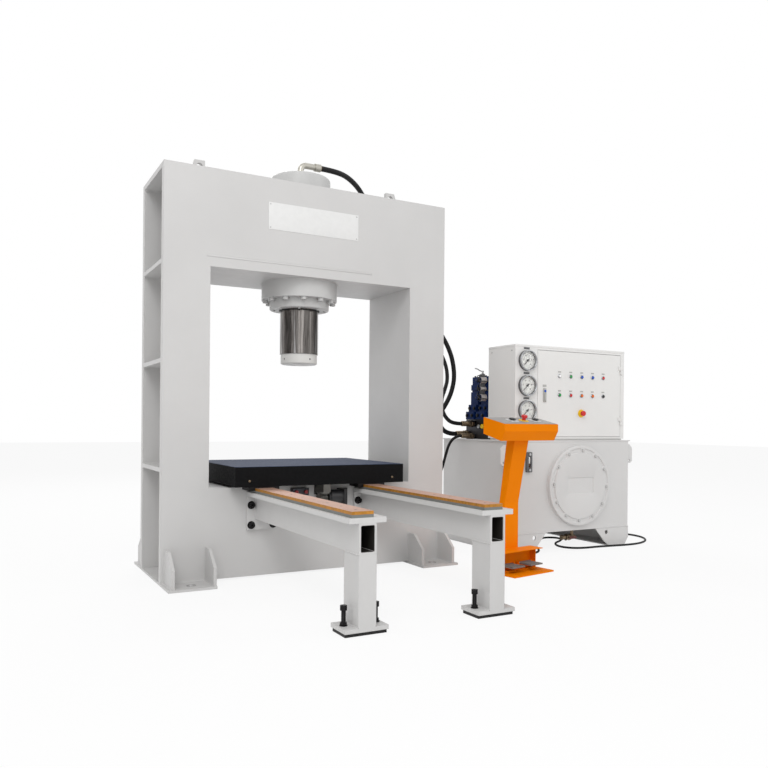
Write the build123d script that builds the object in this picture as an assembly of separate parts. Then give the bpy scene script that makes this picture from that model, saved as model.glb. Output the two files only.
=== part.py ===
from build123d import *
import math
import os

os.makedirs("parts", exist_ok=True)

# Frame of the model
# Millimetres. The origin lies on the floor under the ram's axis, +X runs right along the front of the press,
# +Y runs from its front to its back and +Z is up.

# Press frame
FRAME_HALF_W = 960
FRAME_HALF_D = 295
PLATE_T = 50
FRAME_TOP = 2450
COLUMN_W = 275
WINDOW_HALF_W = FRAME_HALF_W - COLUMN_W
BED_TOP = 554
BEAM_BOTTOM = 1867
CROWN_PLATE_T = 30
BEAM_PLATE_T = 25
WEB_T = 30
RIB_T = 25
RIB_LEVELS = (655, 1290)
CROWN_WEB_X = 330
BED_WEB_X = 215
BED_PLATE_T = 30

# Hose fittings on the back plate
BACK_PORT = (600, 345, 2010)
BED_PORT = (480, 345, 250)
PORT_FITTING_R = 22

# Feet of the frame
FOOT_T = 14
FOOT_OVERHANG = 200
ANCHOR_INSET = 148
ANCHOR_X = FRAME_HALF_W - ANCHOR_INSET
ANCHOR_Y = 405
ANCHOR_R = 18
GUSSET_T = 18
GUSSET_INSETS = (9, 30)
GUSSET_X = (WINDOW_HALF_W + GUSSET_INSETS[0], FRAME_HALF_W - GUSSET_INSETS[1])
GUSSET_TOP = 208
GUSSET_FLAT = 80
GUSSET_REACH = 185
GUSSET_TIP = 117

# Lifting lugs on the crown
LUG_INSET = 208
LUG_X = FRAME_HALF_W - LUG_INSET
LUG_W = 105
LUG_FLAT = 65
LUG_H = 130
LUG_T = 30
LUG_HOLE_R = 20
LUG_HOLE_DOWN = 38
LUG_HOLE_SHIFT = 2

# Cylinder and ram
BARREL_R = 200
BARREL_TOP = 2570
BARREL_ROUND = 20
BORE_R = 142
BORE_TOP = 2540
FLANGE_R = 250
FLANGE_H = 112
GLAND_R = 197
GLAND_H = 62
SPIGOT_H = 35
RAM_R = 127
RAM_HEAD_R = 121
RAM_HEAD_H = 67
HEAD_SPIGOT_R = 50
HEAD_SPIGOT_H = 25
SPANNER_HOLES = 4
SPANNER_R = 6
SPANNER_TURN = 15
SPANNER_UP = 32
RAM_TIP = 1333
PISTON_BOTTOM = 2300
PISTON_H = 105
RUNNING_GAP = 0.05
FLANGE_BOLTS = 12
FLANGE_BOLT_R = 12
FLANGE_BOLT_PCD = 450
FLANGE_HEAD_R = 18
FLANGE_HEAD_H = 20
FLANGE_SOCKET_R = 9
BOLT_GAP = 0.5
ELBOW_R = 20
ELBOW_BEND = 40
ELBOW_NUT_R = 38
ELBOW_NUT_H = 30
FERRULE_LENGTH = 40
ELBOW_Z = 2671
ELBOW_END = 142

# Rails
RAIL_X = 360
RAIL_FRONT = -1710
TUBE_W = 90
TUBE_H = 140
TUBE_WALL = 10
TUBE_BOTTOM = 362
TOP_PLATE_W = 188
TOP_PLATE_T = 25
UNDERLAY_T = 15
STRIP_T = 15
STRIP_W = 110
STRIP_SHIFT = -27
STRIP_BACK = 290
END_PLATE_W = 190
END_PLATE_T = 25
END_PLATE_BOTTOM = 298
RAIL_BOLT_X = 70
RAIL_BOLT_Z = (326, 447)
RAIL_BOLT_R = 12
RAIL_HEAD_R = 18
RAIL_HEAD_H = 22
RAIL_SOCKET_R = 9
LEG_D = 150
LEG_BASE_T = 20
LEG_BASE_W = 220
LEG_PAD_T = 17
LEG_PAD_W = 210
LEG_PAD_D = 130
JACK_X = 82
JACK_R = 10
JACK_H = 92
JACK_HEAD_R = 16
JACK_HEAD_H = 22
SLOT_GAP = 1.0

# Moving table
TABLE_HALF_W = 565
TABLE_HALF_D = 430
TABLE_T = 120
SHOE_T = 8
KEEPER_W = 40
KEEPER_DROP = 15
SLIDE_GAP = 0.3

# Rack drive of the table
MODULE = 5
PINION_TEETH = 14
GEAR_W = 48
RACK_X = 22
RACK_PITCH_Z = 510
PINION_Y = -350
PRESSURE_DEG = 20
TOOTH_GAP = 0.5
MOTOR_R = 50
MOTOR_X = (58, 150)
BRACKET_T = 15

# Power unit
TANK_X = (1490, 2685)
TANK_Y = (-365, 505)
TANK_Z = (145, 830)
TANK_WALL = 6
LID_LIP = 12
MANHOLE_INSET = 660
MANHOLE_X = TANK_X[0] + MANHOLE_INSET
MANHOLE_Z = 487
MANHOLE_R = 305
MANHOLE_T = 18
MANHOLE_RING_T = 12
MANHOLE_PCD = 530
MANHOLE_BOLTS = 12
MANHOLE_BOLT_R = 5
MANHOLE_RIM = 65
MANHOLE_PAD = (267, 124)
LEVEL_INSET = 169
LEVEL_X = TANK_X[0] + LEVEL_INSET
LEVEL_Z = (598, 746)
LEVEL_W = 48
LEVEL_T = 22
LEVEL_SLOT_W = 18
LEVEL_SLOT_END = 34
LEVEL_SCREW_R = 9
DRAIN_X = MANHOLE_X
DRAIN_Y = -300
DRAIN_DROP = 60
DRAIN_STEM_X = 40
DRAIN_BODY_R = 22
EAR_W = 62
EAR_H = 150
EAR_T = 12
EAR_DOWN = 33
EAR_HOLE_R = 9
SKID_WALL = 10
SKID_OUTLINE = ((351, 145), (260, 44), (201, 0), (40, 0), (0, 60), (0, 145))
SKID_ROOM = (400, 40)
SKID_HOLE = (235, 111, 16)

# Electric cabinet on the tank
CAB_X = (1547, 2640)
CAB_Y = (-350, -30)
CAB_Z = (842, 1532)
CAB_WALL = 3
DOOR_X = (1758, 2600)
DOOR_Z = (858, 1500)
DOOR_T = 16
DOOR_GAP = 2.5
GAUGE_X = 1652
GAUGE_Z = (1417, 1234, 1050)
GAUGE_R = 76
GAUGE_DEPTH = 28
GAUGE_FACE = 10
BUTTON_X = (1969, 2080, 2192, 2303, 2415)
BUTTON_Z = (1315, 1172)
BEZEL_R = 15
BEZEL_H = 6
BUTTON_R = 10
BUTTON_H = 12
ESTOP_X = 2188
ESTOP_Z = 1036
ESTOP_PLATE_R = 30
ESTOP_STEM_R = 14
ESTOP_CAP_R = 20
LAMP_COLUMNS = (0, 1, 4)
LOCK_X = 1824
LOCK_Z = 1168
LOCK_SIZE = (28, 104)
HINGE_Z = (980, 1380)
HINGE_H = 30
HINGE_R = 7
HINGE_SLIT = 0.3
PIN_R = 3.5
CABLE_Y = -100
CABLE_Z = 905
GLAND_NUT_R = 15
GLAND_NUT_H = 28
NEEDLE_PIN_R = 3
NEEDLE_HUB_R = 8
NEEDLE_REST = 135
GEAR_MARGIN = 60
GEAR_EDGE = 40
GEAR_STUD = 30
DUCT_ROWS = (40, 240, 440)
DUCT_SIZE = (60, 20)
GEAR_ROWS = (
    (140, 14, 36, 70, 90),
    (340, 9, 60, 90, 100),
    (530, 6, 90, 110, 110),
)

# Valves and pump
BLOCK_X = (1600, 1760)
BLOCK_Y = (-10, 340)
BLOCK_Z = (830, 985)
STATION_Y = (70, 210)
STACK_LAYERS = (
    (-56, 60, 52),
    (-32, 56, 50),
    (-11, 100, 48),
    (-2, 14, 44),
    (-11, 44, 46),
    (0, 62, 44),
)
STACK_INSET = 4
COILS = ((168, 26), (236, 16), (304, 24))
COIL_REACH = 66
COIL_NUT_H = 34
COIL_NUT_SHARE = 0.7
PORT_END = 1481
PORT_Y = 300
MAIN_PORT_Z = 868
RETURN_PORT_Y = 225
RETURN_PORT_Z = 950
TABLE_PORT_Y = 225
TABLE_PORT_Z = 853
PORT_FERRULE = 58
PORT_NUT = 34
PLUG_R = 16
PLUG_Y = (30, 90, 150)
PLUG_Z = 930
PUMP_AT = (2150, 230)
PUMP_BODY_R = 118
PUMP_LEVELS = (18, 130, 420, 480)
PUMP_FINS = 24
FIN_T = 6

# Hoses and the control cable
MAIN_HOSE_R = 18
RETURN_HOSE_R = 15
TABLE_HOSE_R = 11
CABLE_R = 8

# Operator pedestal
STAND_AT = (1022, -1022)
STAND_TURN = 9.8
STAND_W = 372
STAND_D = 330
STAND_T = 10
POST_W = 132
POST_V = 200
POST_KNEE = 440
CONSOLE_W = 512
CONSOLE_WALL = 3
GUARD_Z = 142
GUARD_V = 90
GUARD_T = 4
GUARD_CHEEK = 50
POST_U = 120
POST_DEPTH = 45
POST_LEAN = 85
POST_HEAD = 66
PEDAL_W = 130
PEDAL_U = (35, 205)
PEDAL_V = 160
PEDAL_Z = 48
PEDAL_FRONT = 55
PEDAL_PIN_R = 4
PEDAL_HUB_R = 9
PEDAL_EAR_T = 6
TREAD_HALF_T = 3
TREAD_PITCH = 14
CONSOLE_U = -70
CONSOLE_PROFILE = ((30, 905), (30, 950), (210, 992), (210, 888), (62, 845))
CONSOLE_ROOM = ((33, 907), (33, 947), (207, 987), (207, 891), (64, 849))
BUTTON_PLATE = 30
BUTTON_PLATE_T = 4
PALM_U = (95, 316)
PALM_R = 24
PALM_REACH = 32
CONSOLE_ESTOP_U = 205
STOP_REACH = 40
PANEL_STEM_R = 12
CABLE_BUSH_R = 12
CABLE_BUSH_Z = 30
CABLE_BUSH_H = 25


def block(x0, x1, y0, y1, z0, z1):
    """A box between two corners."""
    return Pos((x0 + x1) / 2, (y0 + y1) / 2, (z0 + z1) / 2) * Box(x1 - x0, y1 - y0, z1 - z0)


def rod_x(r, x0, x1, y, z):
    """A round bar along X."""
    return Pos((x0 + x1) / 2, y, z) * Rot(0, 90, 0) * Cylinder(r, x1 - x0)


def rod_y(r, y0, y1, x, z):
    """A round bar along Y."""
    return Pos(x, (y0 + y1) / 2, z) * Rot(90, 0, 0) * Cylinder(r, y1 - y0)


def rod_z(r, z0, z1, x=0, y=0):
    """A round bar along Z."""
    return Pos(x, y, (z0 + z1) / 2) * Cylinder(r, z1 - z0)


def prism_x(points, x0, x1):
    """An outline of (y, z) points carried along X."""
    face = make_face(Polyline(*[(x0, y, z) for y, z in points], close=True))
    return extrude(face, amount=x1 - x0, dir=(1, 0, 0))


def prism_y(points, y0, y1):
    """An outline of (x, z) points carried along Y."""
    face = make_face(Polyline(*[(x, y0, z) for x, z in points], close=True))
    return extrude(face, amount=y1 - y0, dir=(0, 1, 0))


def turned(points):
    """An outline of (radius, z) points turned about the Z axis."""
    return revolve(make_face(Polyline(*[(r, 0, z) for r, z in points], close=True)), Axis.Z)


def on_circle(count, radius, shift=0.0):
    """Points spaced evenly round a circle."""
    for i in range(count):
        angle = 2 * math.pi * (i + shift) / count
        yield radius * math.cos(angle), radius * math.sin(angle)


def save(name, *shapes):
    """Writes one node, one solid or a group of them."""
    solids = [solid for shape in shapes for solid in shape.solids()]
    node = solids[0] if len(solids) == 1 else Compound(children=solids)
    export_step(node, f"parts/{name}.step")


# Values worked out from the sizes above
inner_d = FRAME_HALF_D - PLATE_T
gland_top = BEAM_BOTTOM - FLANGE_H
ram_end = RAM_TIP + RAM_HEAD_H
tube_top = TUBE_BOTTOM + TUBE_H
strip_bottom = tube_top + TOP_PLATE_T + UNDERLAY_T
strip_top = strip_bottom + STRIP_T
table_bottom = strip_top + SHOE_T
rail_back = -FRAME_HALF_D - END_PLATE_T
leg_bottom = LEG_PAD_T + LEG_BASE_T
rack_half = GEAR_W / 2
rack_low = RACK_PITCH_Z - MODULE
notch_low = rack_low - 2 * MODULE
pitch_r = MODULE * PINION_TEETH / 2
pinion_z = RACK_PITCH_Z - pitch_r
cab_front = CAB_Y[0]
hinge_x = DOOR_X[1] + DOOR_GAP
hinge_y = cab_front - HINGE_R
tank_front = TANK_Y[0]
cover_front = tank_front - MANHOLE_RING_T - MANHOLE_T
tank_middle = sum(TANK_X) / 2
stand_place = Pos(STAND_AT[0], STAND_AT[1], 0) * Rot(0, 0, STAND_TURN)
panel_rise = CONSOLE_PROFILE[2][1] - CONSOLE_PROFILE[1][1]
panel_run = CONSOLE_PROFILE[2][0] - CONSOLE_PROFILE[1][0]
panel_slope = math.degrees(math.atan2(panel_rise, panel_run))


def strip_span(rail):
    """The two X edges of a rail's wear strip."""
    middle = rail + STRIP_SHIFT
    return middle - STRIP_W / 2, middle + STRIP_W / 2


def strip_grooves():
    """The room that the two wear strips need in the bed."""
    for rail in (-RAIL_X, RAIL_X):
        left, right = strip_span(rail)
        yield block(left - SLOT_GAP, right + SLOT_GAP, -400, 400, strip_bottom, BED_TOP + 1)


def rack_slot(y0, y1):
    """The room that the drive rack needs under the table."""
    reach = rack_half + 6
    return block(RACK_X - reach, RACK_X + reach, y0, y1, notch_low, BED_TOP + 1)


# Press frame


def frame_plate(y0, y1):
    """One of the two big plates, with its window and the notches for strips and rack."""
    plate = block(-FRAME_HALF_W, FRAME_HALF_W, y0, y1, FOOT_T, FRAME_TOP)
    plate -= block(-WINDOW_HALF_W, WINDOW_HALF_W, y0 - 1, y1 + 1, BED_TOP, BEAM_BOTTOM)
    for groove in strip_grooves():
        plate -= groove
    plate -= rack_slot(y0 - 1, y1 + 1)
    if y0 > 0:
        for x, y, z in (BACK_PORT, BED_PORT):
            plate += rod_y(PORT_FITTING_R, FRAME_HALF_D, y, x, z)
    return plate


def lifting_lug(side):
    """A lug that stands on the crown, sloped on its outer side."""
    foot, top = FRAME_TOP, FRAME_TOP + LUG_H
    slope = LUG_X - LUG_W + LUG_FLAT
    outline = [(LUG_X, foot), (LUG_X - LUG_W, foot), (LUG_X - LUG_W, top), (slope, top)]
    lug = prism_y([(side * x, z) for x, z in outline], -LUG_T / 2, LUG_T / 2)
    eye = side * (LUG_X - LUG_W + LUG_FLAT / 2 + LUG_HOLE_SHIFT)
    return lug - rod_y(LUG_HOLE_R, -LUG_T, LUG_T, eye, top - LUG_HOLE_DOWN)


def crown_top_plate():
    """The crown's top plate, with the barrel's hole."""
    plate = block(-FRAME_HALF_W, FRAME_HALF_W, -inner_d, inner_d, FRAME_TOP - CROWN_PLATE_T, FRAME_TOP)
    return plate - rod_z(BARREL_R + BOLT_GAP, FRAME_TOP - 100, FRAME_TOP + 1)


def crown_bottom_plate():
    """The plate that closes the beam below and carries the cylinder's flange."""
    top = BEAM_BOTTOM + BEAM_PLATE_T
    plate = block(-FRAME_HALF_W, FRAME_HALF_W, -inner_d, inner_d, BEAM_BOTTOM, top)
    plate -= rod_z(BARREL_R + BOLT_GAP, BEAM_BOTTOM - 1, top + 1)
    for x, y in on_circle(FLANGE_BOLTS, FLANGE_BOLT_PCD / 2, 0.5):
        plate -= rod_z(FLANGE_BOLT_R + BOLT_GAP, BEAM_BOTTOM - 1, top + 1, x, y)
    return plate


def web_plates():
    """Upright plates between the two big ones: jambs, crown webs and bed webs."""
    webs = []
    for side in (-1, 1):
        for at, z0, z1 in (
            (WINDOW_HALF_W, FOOT_T, BEAM_BOTTOM),
            (CROWN_WEB_X, BEAM_BOTTOM + BEAM_PLATE_T, FRAME_TOP - CROWN_PLATE_T),
            (BED_WEB_X, FOOT_T, BED_TOP - BED_PLATE_T),
        ):
            edges = sorted((side * at, side * (at + WEB_T)))
            webs.append(block(*edges, -inner_d, inner_d, z0, z1))
    return webs


def column_ribs():
    """Level ribs across the open outer side of each column."""
    for side in (-1, 1):
        edges = sorted((side * (WINDOW_HALF_W + WEB_T), side * FRAME_HALF_W))
        for level in RIB_LEVELS:
            yield block(*edges, -inner_d, inner_d, level, level + RIB_T)


def bed_plate():
    """The bed's top plate, grooved for the strips and split by the rack's slot."""
    half = WINDOW_HALF_W
    plate = block(-half, half, -inner_d, inner_d, BED_TOP - BED_PLATE_T, BED_TOP)
    for groove in strip_grooves():
        plate -= groove
    return plate - rack_slot(-inner_d - 1, inner_d + 1)


def frame_foot(side):
    """A base plate with its two anchor holes, and the four gussets that stand on it."""
    edges = sorted((side * WINDOW_HALF_W, side * FRAME_HALF_W))
    reach = FRAME_HALF_D + FOOT_OVERHANG
    foot = block(*edges, -reach, reach, 0, FOOT_T)
    gussets = []
    for end in (-1, 1):
        outline = [
            (FRAME_HALF_D, FOOT_T),
            (FRAME_HALF_D, GUSSET_TOP),
            (FRAME_HALF_D + GUSSET_FLAT, GUSSET_TOP),
            (FRAME_HALF_D + GUSSET_REACH, GUSSET_TIP),
            (FRAME_HALF_D + GUSSET_REACH, FOOT_T),
        ]
        for x in GUSSET_X:
            middle = side * x
            points = [(end * y, z) for y, z in outline]
            gussets.append(prism_x(points, middle - GUSSET_T / 2, middle + GUSSET_T / 2))
        foot -= rod_z(ANCHOR_R, -1, FOOT_T + 1, side * ANCHOR_X, end * ANCHOR_Y)
    return foot, *gussets


save("frame_front_plate", frame_plate(-FRAME_HALF_D, -inner_d))
save("frame_back_plate", frame_plate(inner_d, FRAME_HALF_D))
save("crown_top_plate", crown_top_plate(), lifting_lug(-1), lifting_lug(1))
save("crown_bottom_plate", crown_bottom_plate())
save("frame_webs", *web_plates(), *column_ribs())
save("bed_plate", bed_plate())
save("frame_feet", *frame_foot(-1), *frame_foot(1))

# Cylinder and ram


def cylinder_barrel():
    """The barrel with its flange, bored from below, with the oil port on top."""
    barrel = turned(
        [
            (BORE_R, gland_top),
            (FLANGE_R, gland_top),
            (FLANGE_R, BEAM_BOTTOM),
            (BARREL_R, BEAM_BOTTOM),
            (BARREL_R, BARREL_TOP),
            (0, BARREL_TOP),
            (0, BORE_TOP),
            (BORE_R, BORE_TOP),
        ]
    )
    rims = barrel.edges().filter_by(GeomType.CIRCLE).group_by(Axis.Z)[-1]
    barrel = fillet(rims, BARREL_ROUND)
    barrel -= rod_z(ELBOW_R - 8, BORE_TOP - 1, BARREL_TOP + 1)
    for x, y in on_circle(FLANGE_BOLTS, FLANGE_BOLT_PCD / 2, 0.5):
        barrel -= rod_z(FLANGE_BOLT_R + BOLT_GAP, gland_top - 1, BEAM_BOTTOM + 1, x, y)
    return barrel


def cylinder_gland():
    """The gland ring under the flange, with its spigot in the bore."""
    inner = RAM_R + RUNNING_GAP
    low = gland_top - GLAND_H
    return turned(
        [
            (inner, low + 6),
            (inner + 8, low),
            (GLAND_R - 5, low),
            (GLAND_R, low + 5),
            (GLAND_R, gland_top),
            (BORE_R, gland_top),
            (BORE_R, gland_top + SPIGOT_H),
            (inner, gland_top + SPIGOT_H),
        ]
    )


def ram():
    """The ram with its piston, and a spigot for the head."""
    top = PISTON_BOTTOM + PISTON_H
    piston_r = BORE_R - RUNNING_GAP
    return turned(
        [
            (0, ram_end - HEAD_SPIGOT_H),
            (HEAD_SPIGOT_R, ram_end - HEAD_SPIGOT_H),
            (HEAD_SPIGOT_R, ram_end),
            (RAM_R, ram_end),
            (RAM_R, PISTON_BOTTOM),
            (piston_r, PISTON_BOTTOM),
            (piston_r, top),
            (0, top),
        ]
    )


def ram_head():
    """The replaceable head, rounded below, with holes for a pin spanner."""
    head = rod_z(RAM_HEAD_R, RAM_TIP, ram_end)
    low = head.edges().filter_by(GeomType.CIRCLE).sort_by(Axis.Z)[0]
    head = fillet(low, 12)
    head -= rod_z(HEAD_SPIGOT_R, ram_end - HEAD_SPIGOT_H, ram_end + 1)
    for i in range(SPANNER_HOLES):
        bar = rod_x(SPANNER_R, RAM_HEAD_R - 20, RAM_HEAD_R + 5, 0, RAM_TIP + SPANNER_UP)
        head -= Rot(0, 0, SPANNER_TURN + 360 * i / SPANNER_HOLES) * bar
    return head


def cylinder_elbow():
    """The oil fitting on top of the barrel: a nut, a bent pipe and the hose's ferrule."""
    nut = extrude(Plane.XY.offset(BARREL_TOP) * RegularPolygon(ELBOW_NUT_R, 6), amount=ELBOW_NUT_H)
    start = BARREL_TOP + ELBOW_NUT_H
    end = ELBOW_END - FERRULE_LENGTH
    route = FilletPolyline((0, 0, start), (0, 0, ELBOW_Z), (end, 0, ELBOW_Z), radius=ELBOW_BEND)
    pipe = sweep(Plane.XY.offset(start) * Circle(ELBOW_R), path=route)
    ferrule = rod_x(ELBOW_R + 6, end, ELBOW_END, 0, ELBOW_Z)
    return nut + pipe + ferrule


def headed_bolt(head_r, head_h, shank_r, shank_len, socket=0.0):
    """A bolt along +Z whose head stands below the origin."""
    bolt = rod_z(head_r, -head_h, 0) + rod_z(shank_r, 0, shank_len)
    if socket:
        bolt -= extrude(Plane.XY.offset(-head_h) * RegularPolygon(socket, 6), amount=head_h * 0.6)
    return bolt


def flange_bolts():
    """Bolts that hold the flange up to the beam."""
    reach = FLANGE_H + BEAM_PLATE_T
    bolt = headed_bolt(FLANGE_HEAD_R, FLANGE_HEAD_H, FLANGE_BOLT_R, reach, FLANGE_SOCKET_R)
    for x, y in on_circle(FLANGE_BOLTS, FLANGE_BOLT_PCD / 2, 0.5):
        yield Pos(x, y, gland_top) * bolt


save("cylinder_barrel", cylinder_barrel())
save("cylinder_gland", cylinder_gland())
save("ram", ram())
save("ram_head", ram_head())
save("cylinder_elbow", cylinder_elbow())

# Rails


def rail_tube(rail):
    """A rail's box tube with its welded end plate."""
    tube = block(rail - TUBE_W / 2, rail + TUBE_W / 2, RAIL_FRONT, rail_back, TUBE_BOTTOM, tube_top)
    inner = TUBE_W / 2 - TUBE_WALL
    hole = block(
        rail - inner, rail + inner, RAIL_FRONT - 1, rail_back, TUBE_BOTTOM + TUBE_WALL, tube_top - TUBE_WALL
    )
    tube -= fillet(hole.edges().filter_by(Axis.Y), 7)
    half = END_PLATE_W / 2
    tube += block(rail - half, rail + half, rail_back, -FRAME_HALF_D, END_PLATE_BOTTOM, tube_top)
    for shift in (-RAIL_BOLT_X, RAIL_BOLT_X):
        for z in RAIL_BOLT_Z:
            tube -= rod_y(RAIL_BOLT_R + BOLT_GAP, rail_back - 1, -FRAME_HALF_D + 1, rail + shift, z)
    return tube


def rail_top(rail):
    """The plate on a rail tube, with the steel bar under the wear strip."""
    half = TOP_PLATE_W / 2
    left, right = strip_span(rail)
    bar_bottom = tube_top + TOP_PLATE_T
    plate = block(rail - half, rail + half, RAIL_FRONT, -FRAME_HALF_D, tube_top, bar_bottom)
    return plate + block(left, right, RAIL_FRONT, -FRAME_HALF_D, bar_bottom, strip_bottom)


def wear_strip(rail):
    """The bronze strip that the table slides on."""
    left, right = strip_span(rail)
    return block(left, right, RAIL_FRONT, STRIP_BACK, strip_bottom, strip_top)


def rail_leg(rail):
    """A leg under the rail's front end, with its base plate."""
    back = RAIL_FRONT + LEG_D
    leg = block(rail - TUBE_W / 2, rail + TUBE_W / 2, RAIL_FRONT, back, leg_bottom, TUBE_BOTTOM)
    half = LEG_BASE_W / 2
    base = block(rail - half, rail + half, RAIL_FRONT, back, LEG_PAD_T, leg_bottom)
    middle = RAIL_FRONT + LEG_D / 2
    for side in (-1, 1):
        base -= rod_z(JACK_R + BOLT_GAP, LEG_PAD_T - 1, leg_bottom + 1, rail + side * JACK_X, middle)
    return leg + base


def leg_pad(rail):
    """The rubber pad that a leg stands on."""
    half = LEG_PAD_W / 2
    middle = RAIL_FRONT + LEG_D / 2
    return block(rail - half, rail + half, middle - LEG_PAD_D / 2, middle + LEG_PAD_D / 2, 0, LEG_PAD_T)


def black_bolts():
    """Socket bolts of the rail end plates and the jack bolts beside the legs."""
    socket_bolt = headed_bolt(RAIL_HEAD_R, RAIL_HEAD_H, RAIL_BOLT_R, END_PLATE_T, RAIL_SOCKET_R)
    jack = rod_z(JACK_R, LEG_PAD_T, leg_bottom + JACK_H)
    jack += rod_z(JACK_HEAD_R, leg_bottom + JACK_H - JACK_HEAD_H, leg_bottom + JACK_H)
    for rail in (-RAIL_X, RAIL_X):
        for side in (-1, 1):
            for z in RAIL_BOLT_Z:
                yield Pos(rail + side * RAIL_BOLT_X, rail_back, z) * Rot(-90, 0, 0) * socket_bolt
            yield Pos(rail + side * JACK_X, RAIL_FRONT + LEG_D / 2, 0) * jack


def pair(make):
    """The left and right one of a rail's pieces."""
    return make(-RAIL_X), make(RAIL_X)


save("rail_tubes", *pair(rail_tube))
save("rail_top_plates", *pair(rail_top))
save("wear_strips", *pair(wear_strip))
save("rail_legs", *pair(rail_leg))
save("leg_pads", *pair(leg_pad))
save("black_bolts", *black_bolts())

# Moving table and its drive


def table_plate():
    """The thick table with broken edges."""
    low, high = table_bottom, table_bottom + TABLE_T
    plate = block(-TABLE_HALF_W, TABLE_HALF_W, -TABLE_HALF_D, TABLE_HALF_D, low, high)
    return chamfer(plate.edges(), 2)


def slide_shoe(rail):
    """A shoe on a wear strip, with keepers that reach down beside it at the front."""
    left, right = strip_span(rail)
    low = strip_top + SLIDE_GAP
    shoe = block(left - KEEPER_W, right + KEEPER_W, -TABLE_HALF_D + 4, TABLE_HALF_D - 4, low, table_bottom)
    for edges in ((left - KEEPER_W, left - 2), (right + 2, right + KEEPER_W)):
        shoe += block(*edges, -TABLE_HALF_D + 4, -FRAME_HALF_D - 6, strip_top - KEEPER_DROP, low)
    return shoe


def rack_outline():
    """The rack's side view: flanks at the pressure angle, one gap centred over the pinion."""
    pitch = math.pi * MODULE
    lean = MODULE * math.tan(math.radians(PRESSURE_DEG))
    tip, root = RACK_PITCH_Z - 0.8 * MODULE, RACK_PITCH_Z + 1.25 * MODULE
    half = pitch / 4 - TOOTH_GAP / 2
    points = []
    first = math.ceil((-TABLE_HALF_D + pitch - PINION_Y) / pitch)
    last = math.floor((TABLE_HALF_D - pitch - PINION_Y) / pitch)
    for i in range(first, last):
        middle = PINION_Y + (i + 0.5) * pitch
        points += [
            (middle - half - 1.25 * lean, root),
            (middle - half + 0.8 * lean, tip),
            (middle + half - 0.8 * lean, tip),
            (middle + half + 1.25 * lean, root),
        ]
    end = TABLE_HALF_D - 4
    return [(-end, table_bottom), (-end, root)] + points + [(end, root), (end, table_bottom)]


def table_rack():
    """The toothed rack under the table."""
    return prism_x(rack_outline(), RACK_X - rack_half, RACK_X + rack_half)


def pinion_outline():
    """The pinion's involute teeth as (y, z) points, one tooth straight up."""
    base = pitch_r * math.cos(math.radians(PRESSURE_DEG))
    tip, root = pitch_r + MODULE - 0.5, pitch_r - 1.25 * MODULE

    def roll(r):
        """The involute's turn from the base circle out to a radius."""
        slope = math.acos(min(1.0, base / r))
        return math.tan(slope) - slope

    half = math.pi / (2 * PINION_TEETH) - TOOTH_GAP / (2 * pitch_r) + roll(pitch_r)
    radii = [base, pitch_r, pitch_r + 0.5 * MODULE, tip]
    points = []
    for i in range(PINION_TEETH):
        middle = math.pi / 2 + 2 * math.pi * i / PINION_TEETH
        flank = [(root, half)] + [(r, half - roll(r)) for r in radii]
        for r, turn in flank:
            points.append((r, middle - turn))
        for r, turn in reversed(flank):
            points.append((r, middle + turn))
    return [(PINION_Y + r * math.cos(a), pinion_z + r * math.sin(a)) for r, a in points]


def table_pinion():
    """The pinion with its hub and the shaft that enters the motor."""
    pinion = prism_x(pinion_outline(), RACK_X - rack_half, RACK_X + rack_half)
    return pinion + rod_x(12, RACK_X + rack_half, MOTOR_X[0] + 14, PINION_Y, pinion_z)


def table_motor():
    """The drive motor with its stepped body, ports and the bracket that holds it to the frame."""
    x0, x1 = MOTOR_X
    motor = rod_x(MOTOR_R - 8, x0, x0 + 12, PINION_Y, pinion_z)
    motor += rod_x(MOTOR_R, x0 + 12, x1, PINION_Y, pinion_z)
    motor -= rod_x(12 + RUNNING_GAP, x0 - 1, x0 + 15, PINION_Y, pinion_z)
    for shift in (38, 66):
        motor += rod_z(9, pinion_z - MOTOR_R - 16, pinion_z, x0 + shift, PINION_Y)
    reach = MOTOR_R + 8
    plate = block(x1, x1 + BRACKET_T, PINION_Y - reach, -FRAME_HALF_D, pinion_z - reach, pinion_z + 54)
    foot = block(x1, x1 + 70, -FRAME_HALF_D - 12, -FRAME_HALF_D, pinion_z - reach, pinion_z + 54)
    return motor + plate + foot


save("table_plate", table_plate())
save("table_shoes", *pair(slide_shoe))
save("table_rack", table_rack())
save("table_pinion", table_pinion())
save("table_motor", table_motor())

# Power unit: the oil tank


def mirrored(x):
    """The same place on the other side of the tank."""
    return 2 * tank_middle - x


def tank_shell():
    """The welded tank: walls, lid and manhole ring."""
    x0, x1 = TANK_X
    y0, y1 = TANK_Y
    z0, z1 = TANK_Z
    wall = TANK_WALL
    body = block(x0, x1, y0, y1, z0, z1 - 8)
    body = fillet(body.edges().filter_by(Axis.Z), 12)
    body -= block(x0 + wall, x1 - wall, y0 + wall, y1 - wall, z0 + wall, z1 - 8)
    body += block(x0 - LID_LIP, x1 + LID_LIP, y0 - 2, y1 + LID_LIP, z1 - 8, z1)
    body += rod_y(MANHOLE_R, y0 - MANHOLE_RING_T, y0 + wall, MANHOLE_X, MANHOLE_Z)
    ring_front = y0 - MANHOLE_RING_T - 1
    body -= rod_y(MANHOLE_R - MANHOLE_RIM, ring_front, y0 + wall + 1, MANHOLE_X, MANHOLE_Z)
    for x, z in on_circle(MANHOLE_BOLTS, MANHOLE_PCD / 2, 0.5):
        body -= rod_y(MANHOLE_BOLT_R + BOLT_GAP, ring_front, y0 + wall + 1, MANHOLE_X + x, MANHOLE_Z + z)
    return body


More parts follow.
